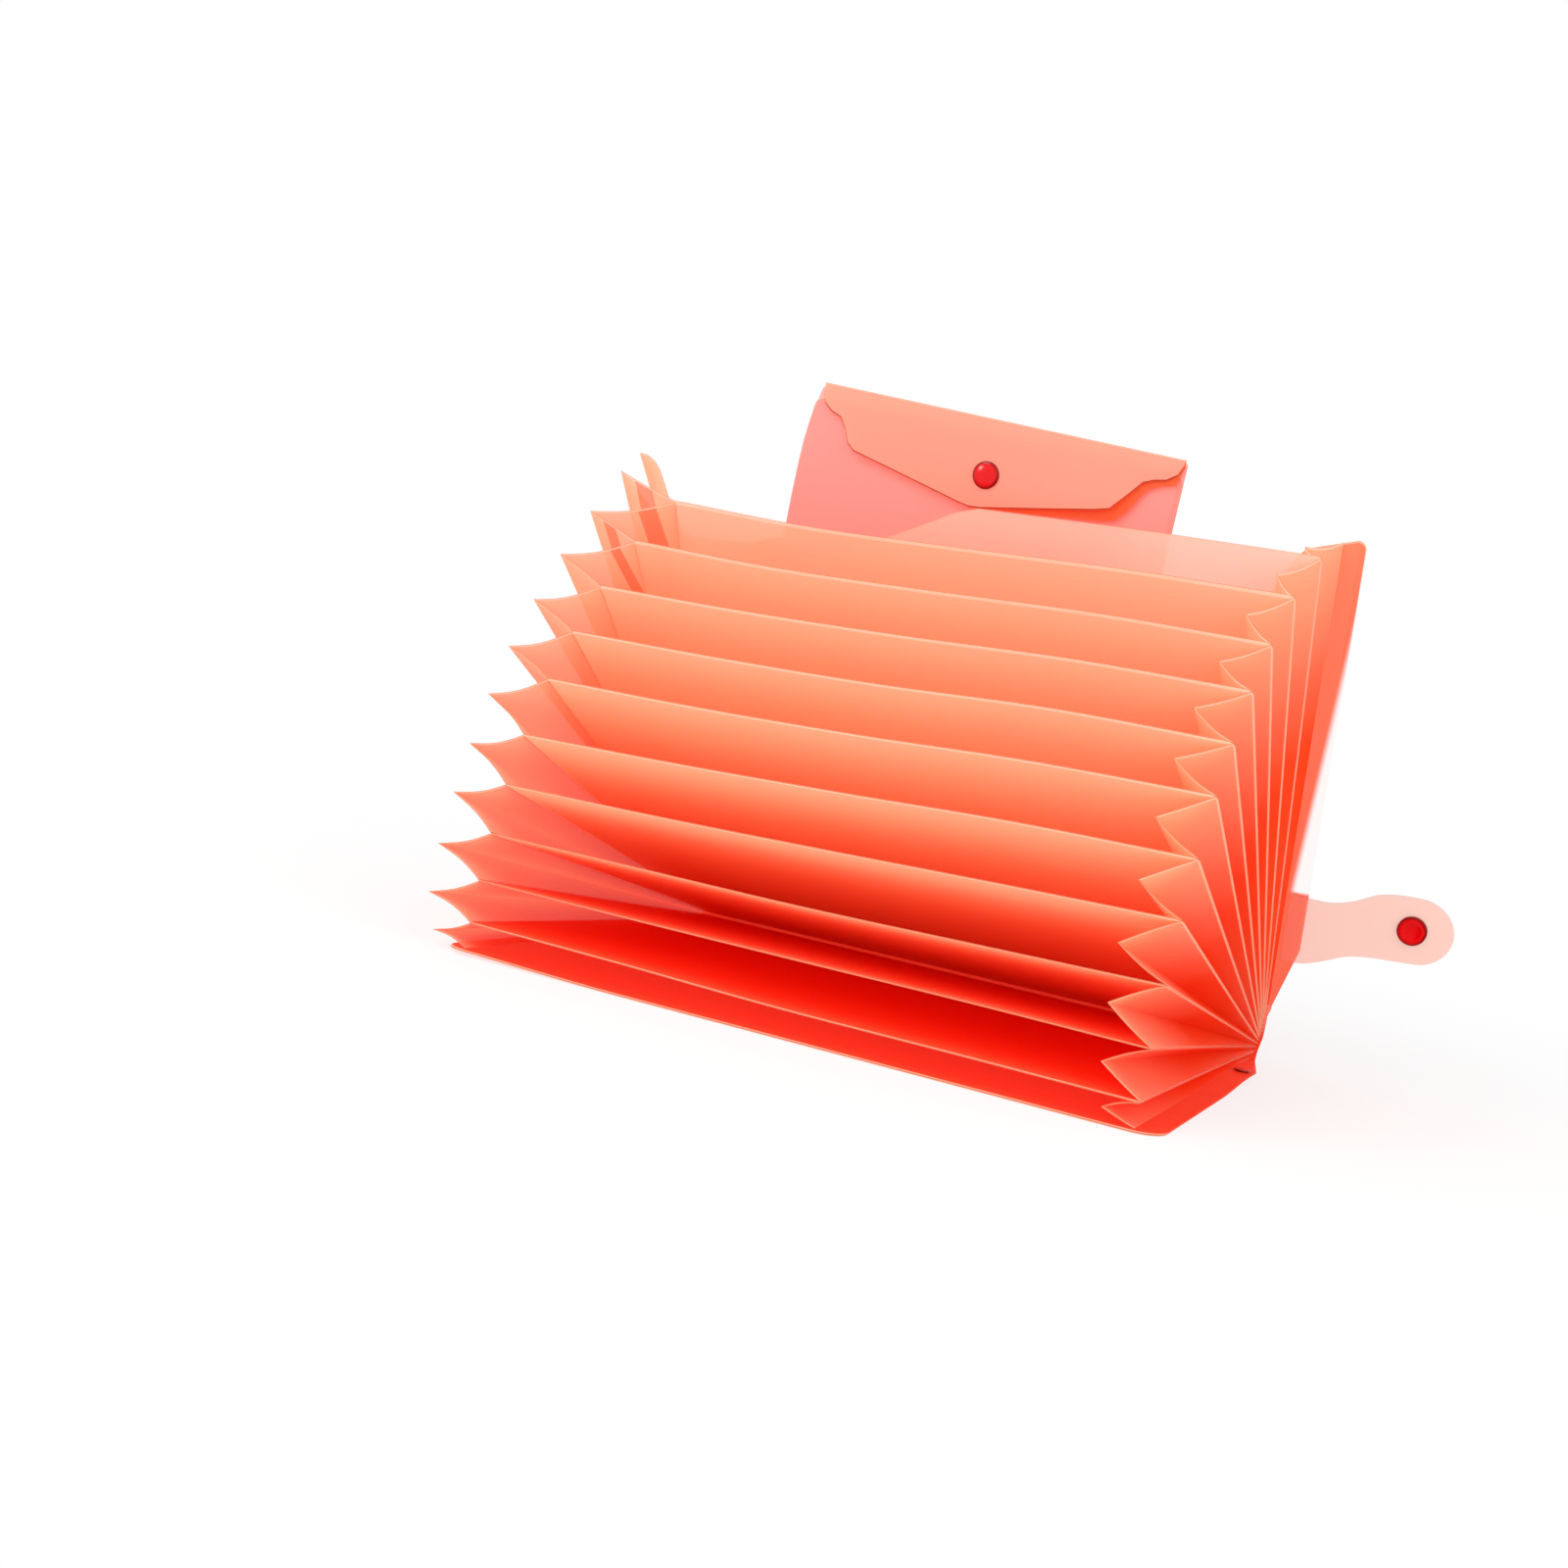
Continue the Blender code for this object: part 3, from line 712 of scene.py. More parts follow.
# Cut faces: darker than the film's faces. This is the edge's own darker look, deepened into a
# painted shade line along each top edge
cut_edge = clear_film(
    "cut_edge", (222, 138, 102),
    ((255, 178, 142), (248, 120, 76), (236, 76, 42)),
    ((255, 160, 118), (255, 96, 50), (252, 60, 28)),
    through=0.35, clear=0.05, roughness=0.45, rim_width=0.0006, weld_shade_width=no_weld_shade)
# The second colour of each snap is the painted shade at its rim
snap_red = snap_gloss("snap_red", (214, 12, 18), (92, 2, 6), roughness=0.16, shine=0.2)
socket_red = snap_gloss("socket_red", (228, 10, 14), (96, 2, 6), roughness=0.22, shine=0.07)


# ---- dividers and covers

# How much the shut part of the fan hides of the light from behind
deepest_stack = 0.92
front_cover_stack = 0.90
left_pleat_stack = 0.42
right_pleat_stack_share = 0.55
slant_softness = 0.06


def slant_top(x):
    """Top edge of the rear divider: level on the right, cut on a slant on the left."""
    run = (-slant_start_from_centre - x) / (half_divider - slant_start_from_centre)
    if run <= 0:
        return divider_height
    soft = min(1.0, run / slant_softness)
    return divider_height - slant_drop * run * (0.5 + 0.5 * soft)


def spine_reach(sheet):
    return spine_edge_reach + spine_bulge * sin(pi * sheet / pocket_count)


def divider_foot(sheet):
    clearance = (cover_thickness + divider_thickness) / 2 + seat_gap
    return clearance - spine_reach(sheet)


def stack_share(place, most=deepest_stack, full_to=1.0, none_from=4.6):
    """High for what lies low in the fan and gets little light from behind, 0 for the rear."""
    return most * (1 - smooth_share(place, full_to, none_from))


def add_divider(sheet):
    stations = rounded_ends(half_divider, divider_foot(sheet), divider_height,
                            divider_corner_radius)
    film = divider_film
    if sheet == pocket_count - 1:
        film = rear_divider_film
        stations = [(x, low, high - (divider_height - slant_top(x))) for x, low, high in stations]
    add_sheet(f"divider_{sheet:02d}", stations, even_rows(14),
              lambda x, y: on_sheet(sheet, x, y), divider_thickness, (film, cut_edge),
              body_names[sheet], "divider_plastic", stack_share(sheet))


def cover_low(x, foot_height):
    """Lower edge of a cover: its corners taper towards the spine."""
    beyond = max(0.0, abs(x) - half_spine) / cover_foot_inset
    return -spine_edge_reach + (foot_height + spine_edge_reach) * min(1.0, beyond)


def add_front_cover():
    stations = rounded_ends(half_cover, 0.0, cover_height, cover_corner_radius)
    corner_top = cover_height - corner_cut(cover_foot_inset, cover_corner_radius)
    stations += [(-half_spine, 0.0, corner_top), (half_spine, 0.0, corner_top)]
    stations = [(x, cover_low(x, front_foot_height), high) for x, _, high in sorted(stations)]
    add_sheet("front_cover", stations, even_rows(22), lambda x, y: on_sheet(0, x, y),
              cover_thickness, (front_cover_film, cut_edge), "front", "cover_plastic",
              front_cover_stack)


def back_cover_top(x):
    """Top edge of the back cover: full height at the ear, then an easy step down to the left."""
    from_right = half_cover - x
    from_left = x + half_cover
    along_ear = min(ear_width, max(0.0, from_right - ear_corner_radius))
    ear_top = cover_height - ear_drop - ear_slant * along_ear
    if from_right <= ear_width:
        return ear_top - corner_cut(from_right, ear_corner_radius)
    low = cover_height - recess_depth
    slope = from_right - ear_width
    if slope < recess_slope_width:
        return ear_top - (ear_top - low) * (1 - cos(pi * slope / recess_slope_width)) / 2
    if from_left >= recess_left_width:
        return low
    top = low - recess_left_drop * (1 - from_left / recess_left_width)
    return top - corner_cut(from_left, recess_left_radius)


def add_back_cover():
    left = -half_cover + recess_left_radius
    right = half_cover - ear_width - recess_slope_width
    places = spread(left, right, 22) + spread(right, right + recess_slope_width, 12)
    places += [half_cover - ear_width / 2, -half_spine, half_spine]
    for turn in spread(0, pi / 2, 8):
        places.append(-half_cover + recess_left_radius * (1 - cos(turn)))
        places.append(half_cover - ear_corner_radius * (1 - cos(turn)))
    places = {round(x, 6) for x in places}
    stations = [(x, cover_low(x, back_foot_height), back_cover_top(x)) for x in sorted(places)]
    add_sheet("back_cover", stations, even_rows(16),
              lambda x, y: on_sheet(pocket_count, x, y), cover_thickness, (back_cover_film,),
              "back", "cover_plastic")


# ---- pleats and spine

pleat_top_inset = 0.0006      # a pleat ends this far under its sheet's top
pleat_foot_lift = 0.0012      # and starts this far over the spine
pleat_gap = 0.00003           # it clears the sheet that it is welded to
pleat_sag = 0.0016            # its top edge hangs between the sheet and the fold
pleat_swell = 0.045           # and its flaps bulge, as a share of their depth
pleat_lay_x = 0.4             # where a pleat lies in the film's pattern, away from the sheets
pleat_rows = spread(0, 1, 10)[:-1] + [0.97, 1.0]


def pleat_top(pocket, side):
    """Heights of a pleat's edge on the sheet behind and on the one in front."""
    behind = before = divider_height
    if side < 0 and pocket == pocket_count - 1:
        behind = divider_height - slant_drop
    elif side < 0 and pocket == pocket_count:
        behind = back_cover_top(-half_divider)
        before = divider_height - slant_drop
    return behind - pleat_top_inset, before - pleat_top_inset


# The rear pleat ends in a round tongue at its fold, on its back flap and on its front one:
# shares of the way to the fold, then how much of the height over the sheet's edge is reached
back_tongue = (
    (0.0, 0.0), (0.40, 0.0), (0.58, 0.01), (0.70, 0.05), (0.782, 0.16), (0.831, 0.32),
    (0.856, 0.482), (0.866, 0.632), (0.876, 0.815), (0.890, 0.927), (0.938, 0.99), (1.0, 1.0))
front_tongue = (
    (0.0, 0.0), (0.30, 0.0), (0.46, 0.02), (0.577, 0.09), (0.696, 0.27), (0.755, 0.50),
    (0.778, 0.69), (0.792, 0.785), (0.812, 0.899), (0.850, 0.963), (0.925, 0.995), (1.0, 1.0))
# It leans out, in step with the height
tongue_reach = 0.0035
tongue_foot = 0.2085
tongue_rise = 0.0223

# Painted shade, where two layers lie over each other: on the front flaps of two pleats, the
# distance of the band's middle from the fold and half its width, and on the back flaps of the
# pleats before them, the same from the sheet's edge and how fast it nears that edge further down
shade_band_top = 0.225
front_shade_bands = {11: (0.0165, 0.0066), 10: (0.0134, 0.0047)}
back_shade_bands = {10: (0.0108, 0.0037, 0.17), 9: (0.0076, 0.0021, 0.20)}
no_shade_band = -9.0


def shade_band_place(pocket, is_behind, from_fold, from_sheet, y):
    """-1 to 1 across a pleat's painted shade band, and more outside it."""
    if not is_behind and pocket in front_shade_bands:
        middle, half = front_shade_bands[pocket]
        return (from_fold - middle) / half
    if is_behind and pocket in back_shade_bands:
        middle, half, slant = back_shade_bands[pocket]
        return (middle - slant * (shade_band_top - y) - from_sheet) / half
    return no_shade_band


def add_pleat(pocket, side):
    """Two flaps that meet on a fold line: outwards on the left, inwards on the right."""
    label, tips, film = "right", right_pleat_tips, inner_pleat_film
    in_stack = right_pleat_stack_share * stack_share(pocket)
    if side < 0:
        label, tips, film = "left", left_pleat_tips, pleat_film
        in_stack = stack_share(pocket, left_pleat_stack, full_to=3.0, none_from=8.5)
    tip_depth, tip_height = tips[pocket - 1]
    behind_top, before_top = pleat_top(pocket, side)
    foot = pleat_foot_lift - min(spine_reach(pocket - 1), spine_reach(pocket))
    half_step = radians(fan_steps[pocket - 1]) / 2
    middle = (Matrix.Translation(hinge_points[pocket]) @ Matrix.Rotation(half_step, 4, "X")
              @ sheet_frames[pocket].to_3x3().to_4x4())
    has_tongue = side < 0 and pocket == pocket_count
    behind_places = before_places = spread(0, 1, 6)
    if has_tongue:
        behind_places, before_places = [[x for x, _ in table]
                                        for table in (back_tongue, front_tongue)]
    shares = [x / 2 for x in behind_places] + [1 - x / 2 for x in reversed(before_places[:-1])]
    columns, weights = [], []
    for share in shares:                   # 0 on the sheet behind, 1 on the one in front
        to_fold = 1 - abs(2 * share - 1)   # 1 on the fold line
        is_behind = share <= 0.5
        sheet, facing, low, tongue = pocket, 1, behind_top, back_tongue
        if not is_behind:
            sheet, facing, low, tongue = pocket - 1, -1, before_top, front_tongue
        sheet_thickness = cover_thickness if sheet in (0, pocket_count) else divider_thickness
        out = facing * ((sheet_thickness + gusset_thickness) / 2 + pleat_gap)
        risen = along_table(tongue, to_fold) if has_tongue else to_fold
        top = low + (tip_height - low) * risen
        if not has_tongue:
            top -= pleat_sag * sin(pi * to_fold)
        across = direction(sheet_frames[pocket], 0, 0, facing)
        column = []
        for row in pleat_rows:
            y = foot + (top - foot) * row
            opening = (y - foot) / (tip_height - foot)
            depth = pleat_foot_depth + (tip_depth - pleat_foot_depth) * opening
            if has_tongue:
                depth += tongue_reach * max(0.0, (y - tongue_foot) / tongue_rise)
            start = on_sheet(sheet, side * (half_divider - weld_lap), y, out)
            fold = middle @ Vector((side * half_divider - depth, y, 0))
            swell = -side * pleat_swell * depth * sin(pi * to_fold) * row
            shade_band = no_shade_band
            if side < 0:
                shade_band = shade_band_place(pocket, is_behind, (1 - to_fold) * depth, to_fold * depth, y)
            column.append((start.lerp(fold, to_fold) + across * swell,
                           (pleat_lay_x + to_fold * depth, y), (top - y, shade_band)))
            weights.append(1 - share)
        columns.append(column)
    piece = grid_piece(f"{label}_pleat_{pocket:02d}", columns, gusset_thickness,
                       (film, cut_edge), len(behind_places) - 1, in_stack, even=False)
    finish_in_pocket(piece, pocket, 0.1, "gusset_plastic", weights,
                     f"{label}_gusset_{pocket:02d}")


inner_edge = 0.1     # distance from an open edge that gives no rim


def add_spine():
    """The strip behind the dividers: twelve runs of one smooth curve."""
    lay_step = 0.003
    points = [frame @ Vector((0, -spine_reach(sheet), 0))
              for sheet, frame in enumerate(sheet_frames)]
    first = direction(sheet_frames[0], 0, -1, 0) * (points[1] - points[0]).length
    last = direction(back_frame, 0, 1, 0) * (points[-1] - points[-2]).length
    inner = [(after - before) / 2 for before, after in zip(points, points[2:])]
    tangents = [first] + inner + [last]
    for pocket in range(1, pocket_count + 1):
        columns, weights = [], []
        for run in spread(0, 1, 6):
            place = smooth_run(run, points[pocket - 1], tangents[pocket - 1],
                               points[pocket], tangents[pocket])
            lay_y = (pocket - 1 + run) * lay_step
            widths = spread(-half_spine, half_spine, 24)
            columns.append([((x, place.y, place.z), (x, lay_y), (inner_edge, half_spine - abs(x)))
                            for x in widths])
            weights += [run] * len(widths)
        piece = grid_piece(f"spine_strip_{pocket:02d}", columns, cover_thickness,
                           (front_cover_film, cut_edge),
                           stack=stack_share(pocket, full_to=5, none_from=11))
        finish_in_pocket(piece, pocket, 0.0, "cover_plastic", weights, "cover_spine")


# ---- strap

def strap_edges(share):
    """Lower and upper edge of the strap at a share of its length: it ends in a half round."""
    low = through_points(strap_edge_places, strap_low_shares, share)
    high = through_points(strap_edge_places, strap_high_shares, share)
    run = max(0.0, share - strap_round_start_share) / (1 - strap_round_start_share)
    half = (high - low) / 2 * sqrt(max(0.0, 1 - run * run))
    middle = (low + high) / 2
    return (middle - half) * strap_width, (middle + half) * strap_width


strap_start_x = half_divider + strap_inner_clearance
strap_level = (cover_thickness + strap_thickness) / 2 + seat_gap
strap_crease_x = half_cover + strap_crease_overhang
strap_second_crease_x = strap_crease_x + strap_wrap_length
strap_end_x = strap_start_x + strap_length
# Closer columns across the crease, between these two places
crease_start_x, crease_end_x = strap_crease_x - 0.001, strap_crease_x + 0.001
last_share = 0.99999


def strap_stations(places):
    stations = []
    for x in places:
        low, high = strap_edges(min(last_share, (x - strap_start_x) / strap_length))
        stations.append((x, strap_foot_height + low, strap_foot_height + high))
    return stations


def strap_place(x, y):
    return back_frame @ Vector((x, y, strap_level))


def add_strap():
    rows = spread(0, 1, 8)
    films = (strap_film, strap_rim_film)
    places = (spread(strap_start_x, crease_start_x, 6)[:-1]
              + spread(crease_start_x, crease_end_x, 4)
              + spread(crease_end_x, strap_second_crease_x, 14)[1:])
    body = sheet_piece("strap_root_and_neck", strap_stations(places), rows, strap_place,
                       strap_thickness, films)
    finish_blend(body, "back", "strap_side", strap_place(crease_start_x, 0.06),
                 strap_place(crease_end_x, 0.06), "strap_plastic", None,
                 "strap_root", "strap_neck")
    tab_length = strap_end_x - strap_second_crease_x
    places = [strap_second_crease_x + tab_length * sin(turn)     # closer at the round end
              for turn in spread(0, pi / 2, 16)]
    add_sheet("strap_tab", strap_stations(places), rows, strap_place, strap_thickness, films,
              "strap_end", "strap_plastic")


# ---- envelope

envelope_frame = (moved(back_frame, envelope_top_centre_from_middle, envelope_top_centre_height, 0)
                  @ Matrix.Rotation(radians(envelope_tilt_degrees), 4, "Z"))
envelope_back_level = (cover_thickness + envelope_thickness) / 2 + seat_gap
envelope_front_level = envelope_back_level + envelope_thickness + seat_gap
flap_frame = (moved(envelope_frame, 0, 0, envelope_front_level + flap_fold_rise)
              @ Matrix.Rotation(radians(-flap_lift_degrees), 4, "X"))
flap_reach = 0.045            # from the fold to the flap's point
flap_lift_right = 0.0042      # how far its lower corners lift
flap_lift_left = 0.0006
lift_places_right = (-0.012, 0.070)
lift_places_left = (0.020, 0.080)
lift_power = 1.6
pouch_widening = 0.0075       # how much wider the pouch gets on its left, below a soft shoulder
pouch_shoulder = 0.018
pouch_top_radius = 0.0008
shadow_strip_depth = 0.0005         # the painted shadow strip lies this far under the flap
shadow_strip_lap = 0.004            # and laps under its edge by this much
shadow_strip_thickness = 0.0002
fold_end_inset = 0.0012
fold_bulge = 0.0011

# Free edge of the flap, from its left end to its right end: distances from its middle and its fold
flap_edge = (
    (-0.0975, -0.0030), (-0.0960, -0.0090), (-0.0915, -0.0125), (-0.0850, -0.0150),
    (-0.0815, -0.0200), (-0.0785, -0.0270), (-0.0745, -0.0302), (-0.0400, -0.0375),
    (-0.0120, -0.0435), (-0.0060, -0.0445), (0.0000, -0.0440), (0.0300, -0.0380),
    (0.0600, -0.0318), (0.0670, -0.0298), (0.0740, -0.0215), (0.0800, -0.0140),
    (0.0850, -0.0118), (0.0910, -0.0105), (0.0960, -0.0070), (0.0980, -0.0020),
)


def flap_point(x, y):
    """The flap lies close by its fold and lifts towards its lower right corner."""
    down = min(1.0, -y / flap_reach)
    lift = flap_lift_right * smooth_share(x, *lift_places_right) * down ** lift_power
    lift += flap_lift_left * smooth_share(-x, *lift_places_left) * down
    return flap_frame @ Vector((x, y, flap_fold_rise + lift))


# Lower edge of the painted shadow strip, which shows below the flap where it lifts
shadow_strip_edge = (
    (-0.0059, -0.0447), (0.0255, -0.0412), (0.0510, -0.0380), (0.0650, -0.0362), (0.0700, -0.0348),
    (0.0752, -0.0291), (0.0800, -0.0210), (0.0829, -0.0168), (0.0880, -0.0140), (0.0959, -0.0118),
    (0.0985, -0.0030),
)


def pouch_side(x, y):
    """The pouch is a little wider on its left than its flap, with a shoulder below the fold."""
    wide = pouch_widening * (1 - exp(min(0.0, y) / pouch_shoulder))
    return x - wide * max(0.0, -x / (envelope_width / 2)) ** 2


def add_pouch():
    for side, level, top, radius in (
            ("back", envelope_back_level, -seat_gap, pouch_top_radius),
            ("front", envelope_front_level, -envelope_front_inset, envelope_corner_radius)):
        stations = rounded_ends(envelope_width / 2, -envelope_height, top, radius,
                                low_radius=envelope_corner_radius)
        add_sheet(f"envelope_{side}", stations, even_rows(14),
                  lambda x, y: envelope_frame @ Vector((pouch_side(x, y), y, level)),
                  envelope_thickness, (pouch_film, cut_edge), "envelope", "envelope_plastic")


def add_flap():
    columns = []
    for x in sorted({x for x, _ in flap_edge} | set(spread(-0.095, 0.095, 30))):
        low = along_table(flap_edge, x)
        heights = [low * share for share in spread(1, 0, 10)]
        columns.append([(flap_point(x, y), (x, y), (y - low, 0.5)) for y in heights])
    flap = grid_piece("envelope_flap_sheet", columns, envelope_thickness, (flap_film, cut_edge))
    finish_piece(flap, "flap", "envelope_plastic", "envelope_flap")


def add_flap_shadow_strip():
    """A deep orange strip under the flap's lifted edge: its painted shadow."""
    columns = []
    for x, low in shadow_strip_edge:
        high = min(0.0, max(along_table(flap_edge, x), low) + shadow_strip_lap)
        columns.append([(flap_frame @ Vector((x, y, flap_fold_rise - shadow_strip_depth)), (x, y),
                         (inner_edge, 0.5)) for y in spread(low, high, 4)])
    shadow_strip = grid_piece("envelope_flap_shadow_strip", columns, shadow_strip_thickness, (flap_shadow_film,))
    finish_piece(shadow_strip, "flap", "envelope_plastic", "envelope_flap")


def add_fold():
    """The rounded fold along the top, from the back sheet over to the flap."""
    up = direction(envelope_frame, 0, 1, 0) * fold_bulge
    end_x = envelope_width / 2 - fold_end_inset
    columns, weights = [], []
    for x in spread(-end_x, end_x, 24):
        start = envelope_frame @ Vector((x, -seat_gap, envelope_back_level))
        end = flap_point(x, 0.0)
        column = []
        for share in spread(0, 1, 8):
            turn = pi * share
            point = (start + end) / 2 - (end - start) / 2 * cos(turn) + up * sin(turn)
            column.append((point, (x, 0.002), (inner_edge, 0.5)))
            weights.append(share)
        columns.append(column)
    fold = grid_piece("envelope_fold", columns, envelope_thickness, (flap_film, cut_edge))
    finish_blend(fold, "envelope", "flap", envelope_frame @ Vector((0, 0, 0)),
                 envelope_frame @ Vector((0, 0, 0.004)), "envelope_plastic", weights,
                 "envelope_flap")


# ---- snaps

def turned_piece(name, profile, place, face_sign, body, node, gloss, steps=48):
    """A round moulded piece: a closed profile of (radius, height) turned about its axis."""
    def around(radius, step):
        return radius * cos(tau * step / steps), radius * sin(tau * step / steps)

    surface = bmesh.new()
    widest = max(radius for radius, _ in profile)
    rings = []
    for radius, height in profile:
        places = [around(radius, step) for step in range(steps if radius else 1)]
        ring = [surface.verts.new(place @ Vector((x, y, face_sign * height))) for x, y in places]
        rings.append(ring if radius else ring * steps)
    faces = []
    for low in range(len(rings) - 1):
        for step in range(steps):
            following = (step + 1) % steps
            square = ((low, step), (low, following), (low + 1, following), (low + 1, step))
            # On the axis two corners share a vertex, and the face keeps the first of them
            corners = {rings[a][b]: (a, b) for a, b in reversed(square)}
            faces.append(list(reversed(corners.values())))
    fill_faces(surface, rings, faces, lay=lambda a, b: around(profile[a][0], b),
               edge=lambda a, b: (profile[a][0] / widest, profile[a][1]))
    bmesh.ops.recalc_face_normals(surface, faces=surface.faces[:])
    finish_piece(new_object(name, surface, (gloss,)), body, "snap_plastic", node)


def softened(profile, radius=0.00018):
    """The profile with its corners rounded a little, as moulded."""
    result = [profile[0]]
    for before, corner, after in zip(profile, profile[1:], profile[2:]):
        here = Vector(corner)
        back = Vector(before) - here
        ahead = Vector(after) - here
        cut = min(radius, back.length / 3, ahead.length / 3)
        start = here + back.normalized() * cut
        end = here + ahead.normalized() * cut
        result += [tuple(start), tuple((start + end + 2 * here) / 4), tuple(end)]
    result.append(profile[-1])
    return result


def dome_profile():
    """Cap with a low rim step and a domed face."""
    radius, height, rim = 0.0070, 0.0019, 0.0007
    step_height, dome_share = 0.00012, 0.93
    low = rim + step_height
    dome = [(radius * sin(turn) * dome_share, low + (height - low) * cos(turn))
            for turn in spread(0, pi / 2, 9)]
    return dome + [(radius * 0.945, rim * 0.92), (radius * 0.975, rim), (radius, rim * 0.72),
                   (radius, 0.00005), (radius * 0.98, 0), (0, 0)]


# Profiles of (radius, height): a disc with a raised outer ring, a groove and a bowl for the stud,
# the ring under the flap, the post that it snaps on, and the rivet's head
disc_profile = (
    (0, 0.0007), (0.0020, 0.00072), (0.0032, 0.0009), (0.0040, 0.00125), (0.00445, 0.0017),
    (0.0048, 0.0018), (0.0052, 0.00172), (0.0056, 0.00160), (0.0060, 0.00168), (0.0064, 0.0018),
    (0.0068, 0.0016), (0.0070, 0.0012), (0.0070, 0.0001), (0.0069, 0), (0, 0))
ring_profile = softened(((0, 0.0003), (0.0024, 0.0003), (0.0024, 0.0010), (0.0050, 0.0010),
                         (0.0050, 0), (0, 0)))
post_profile = softened(((0, 0.0010), (0.0020, 0.0010), (0.0020, 0.0005), (0.0045, 0.0005),
                         (0.0045, 0), (0, 0)))
head_profile = softened(((0, 0.0006), (0.0036, 0.0006), (0.0036, 0), (0, 0)))


def add_snaps():
    """Seven moulded halves, each seated on the face of the sheet that carries it."""
    snap_distance = strap_length - strap_snap_end_distance
    low, high = strap_edges(snap_distance / strap_length)
    snap_y = strap_foot_height + (low + high) / 2
    stud_x = strap_crease_x - (snap_distance - (strap_second_crease_x - strap_start_x))
    strap = moved(back_frame, strap_start_x + snap_distance, snap_y, strap_level)
    flap = moved(flap_frame, 0, -flap_snap_distance, flap_fold_rise)
    pouch = moved(envelope_frame, 0, -flap_snap_distance, envelope_front_level)
    cover = moved(sheet_frames[0], stud_x, snap_y, -hump(snap_y))
    for node, form, profile, place, thickness, face_sign, body in (
            ("strap_socket", "disc", disc_profile, strap, strap_thickness, 1, "strap_end"),
            ("strap_cap", "dome", dome_profile(), strap, strap_thickness, -1, "strap_end"),
            ("flap_cap", "dome", dome_profile(), flap, envelope_thickness, 1, "flap"),
            ("flap_socket", "ring", ring_profile, flap, envelope_thickness, -1, "flap"),
            ("envelope_stud", "post", post_profile, pouch, envelope_thickness, 1, "envelope"),
            ("cover_stud", "post", post_profile, cover, cover_thickness, 1, "front"),
            ("cover_rivet", "head", head_profile, cover, cover_thickness, -1, "front")):
        seat = face_sign * (thickness / 2 + seat_gap)
        turned_piece(f"{node}_{form}", profile, moved(place, 0, 0, seat), face_sign, body, node,
                     socket_red if form == "disc" else snap_red)


# ---- stage, light and camera

white = (1, 1, 1, 1)
floor_grey = (0.86, 0.86, 0.86, 1)
floor_roughness = 0.9
floor_half_size = 6.0
floor_gap = 0.0004
fade_start, fade_end, near_white = 0.25, 0.75, 0.72
sky_colour, sky_strength = (1.0, 0.99, 0.98, 1), 0.80


def add_floor():
    """Plain white floor that fades into the background and keeps the object's soft shadow."""
    surface = bmesh.new()
    bmesh.ops.create_grid(surface, x_segments=8, y_segments=8, size=floor_half_size)
    material, wires, shader, output = new_material("floor_white")
    set_values(shader, {"Base Color": floor_grey, "Roughness": floor_roughness})
    length = wires.node("VectorMath", operation="LENGTH")
    wires.link(wires.node("TexCoord").outputs["Object"], length.inputs[0])
    far = wires.ramp(length.outputs["Value"], fade_start, fade_end, near_white, 1.0)
    plain = wires.node("Emission")
    set_values(plain, {"Color": white, "Strength": 1.0})
    share = wires.times(far, wires.seen_plainly())
    both = wires.blend(share, shader.outputs[0], plain.outputs[0])
    wires.link(both, output.inputs["Surface"])
    floor = new_object("floor", surface, (material,))
    floor.location = (0, 0.03, -floor_gap)


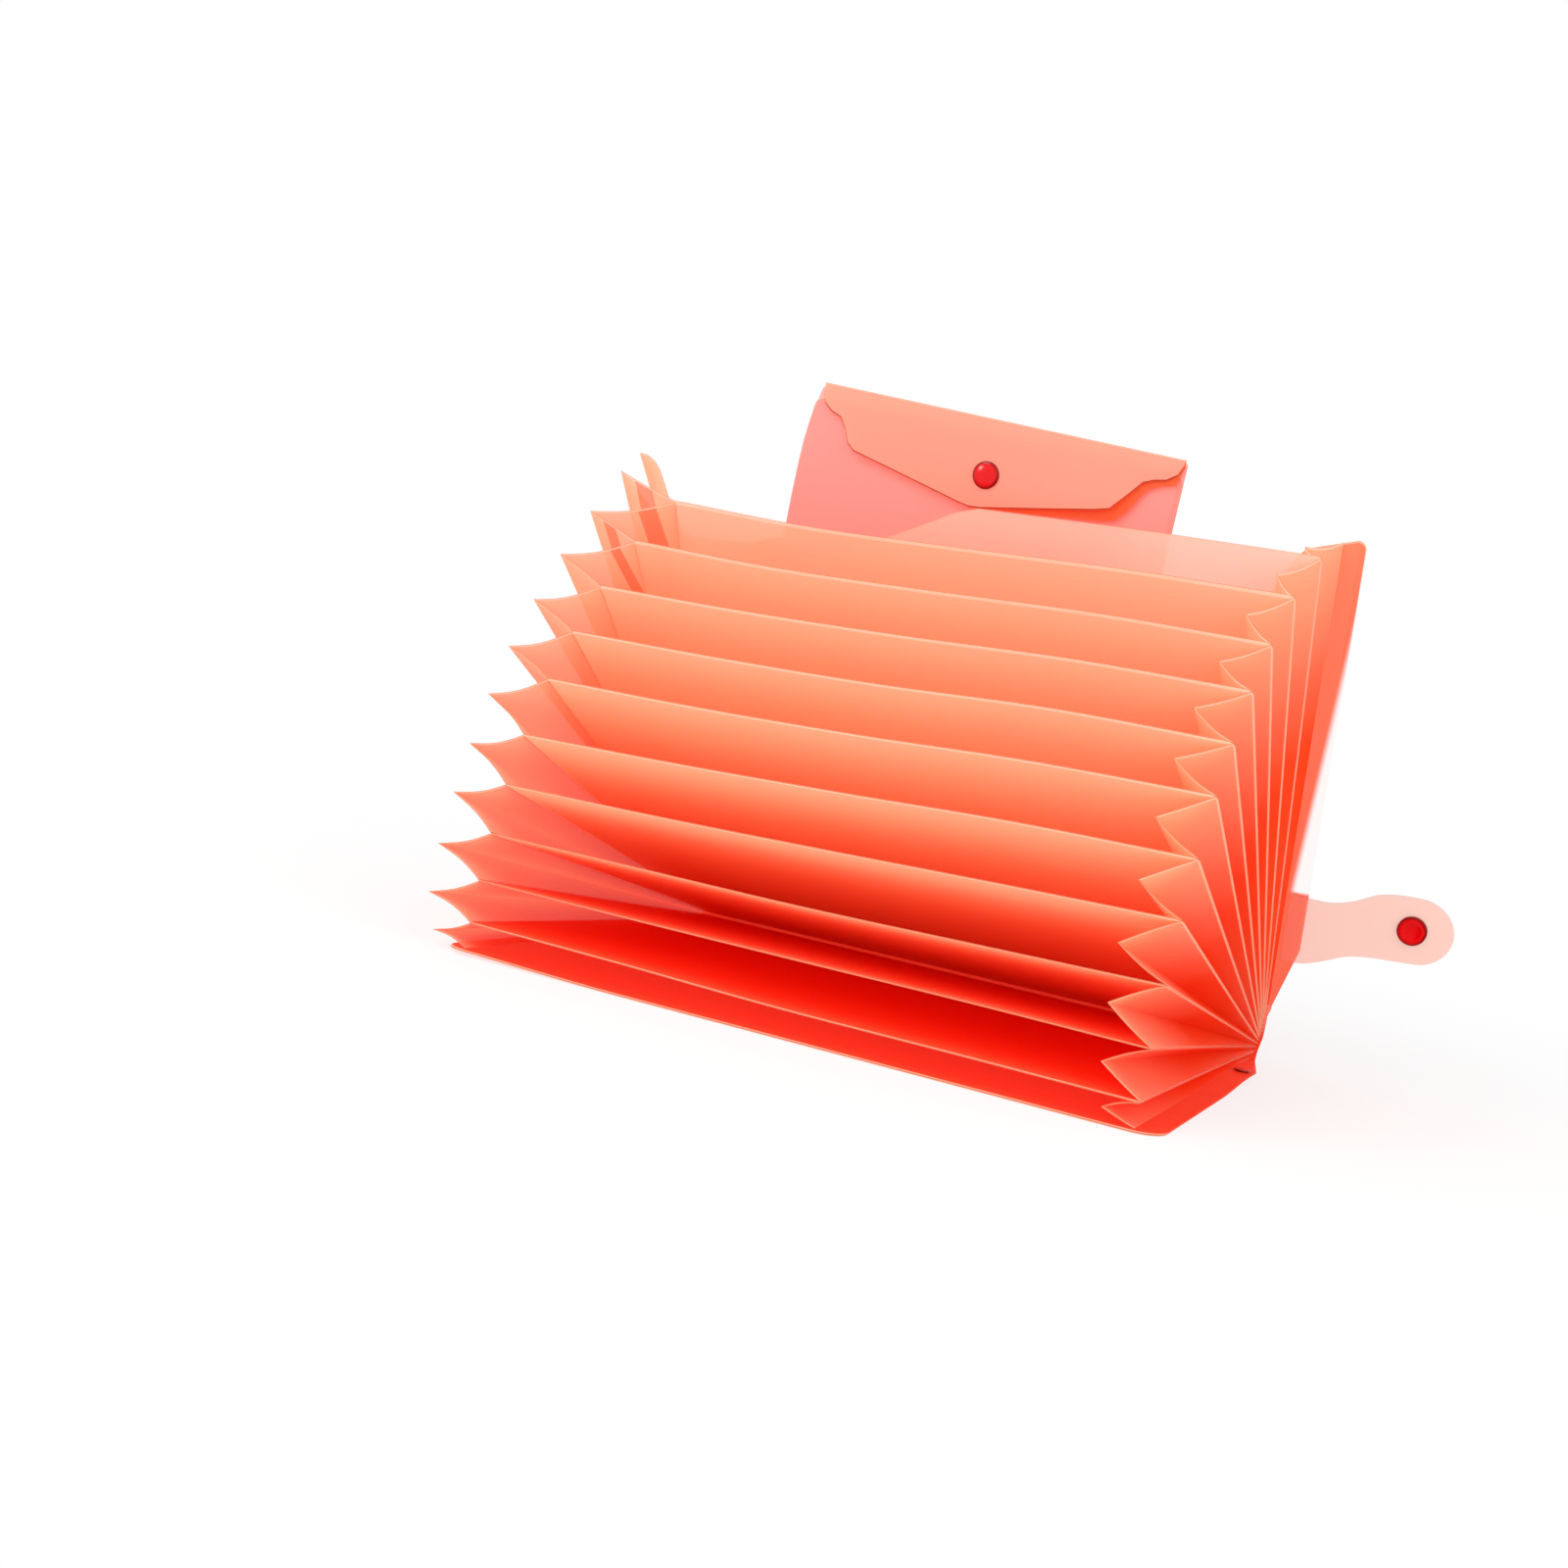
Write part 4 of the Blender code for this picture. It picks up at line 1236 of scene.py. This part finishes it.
def add_world():
    """Soft light from all around, behind which the camera sees plain white."""
    world = bpy.data.worlds.new("studio")
    bpy.context.scene.world = world
    world.use_nodes = True
    wires = Wiring(world.node_tree)
    sky = world.node_tree.nodes["Background"]
    set_values(sky, {"Color": sky_colour, "Strength": sky_strength})
    plain = wires.node("Background")
    set_values(plain, {"Color": white, "Strength": 1.0})
    both = wires.blend(wires.seen_plainly(), sky.outputs[0], plain.outputs[0])
    wires.link(both, world.node_tree.nodes["World Output"].inputs["Surface"])


def add_lamp(name, place, aim, size, power):
    data = bpy.data.lights.new(name, "AREA")
    data.size = size
    data.energy = power
    lamp = bpy.data.objects.new(name, data)
    bpy.context.scene.collection.objects.link(lamp)
    lamp.location = place
    lamp.rotation_euler = (Vector(aim) - Vector(place)).to_track_quat("-Z", "Y").to_euler()


def add_camera():
    """The photograph's own view, as fitted to its corners and edges."""
    forward = Vector((-0.4091774, 0.91019871, -0.06412619))
    right = Vector((0.89398428, 0.41397233, 0.17151974))
    down = Vector((0.18266351, 0.01285419, -0.98309146))
    data = bpy.data.cameras.new("camera")
    data.lens = 44.31
    data.sensor_width = 36.0
    data.clip_start = 0.01
    camera = bpy.data.objects.new("camera", data)
    bpy.context.scene.collection.objects.link(camera)
    matrix = Matrix((right, -down, -forward)).transposed().to_4x4()
    matrix.translation = Vector((0.31152507, -0.79437224, 0.15400238))
    camera.matrix_world = matrix
    bpy.context.scene.camera = camera


add_front_cover()
for number in range(1, pocket_count):
    add_divider(number)
add_back_cover()
add_spine()
for number in range(1, pocket_count + 1):
    add_pleat(number, -1)
    add_pleat(number, 1)
add_strap()
add_pouch()
add_flap()
add_flap_shadow_strip()
add_fold()
add_snaps()

add_floor()
add_world()
add_lamp("key", (-0.7, -1.1, 1.5), aim=(0, 0.05, 0.10), size=1.1, power=16)
add_lamp("fill", (1.3, -0.6, 0.9), aim=(0, 0.05, 0.12), size=1.2, power=7)
add_lamp("glint", (-0.8, -1.15, 0.42), aim=(0, 0.10, 0.20), size=0.22, power=3.4)
add_camera()
cycles = bpy.context.scene.cycles
cycles.max_bounces = 18
cycles.diffuse_bounces = 12
cycles.transmission_bounces = 12
cycles.transparent_max_bounces = 32
bpy.context.scene.view_settings.view_transform = "Standard"
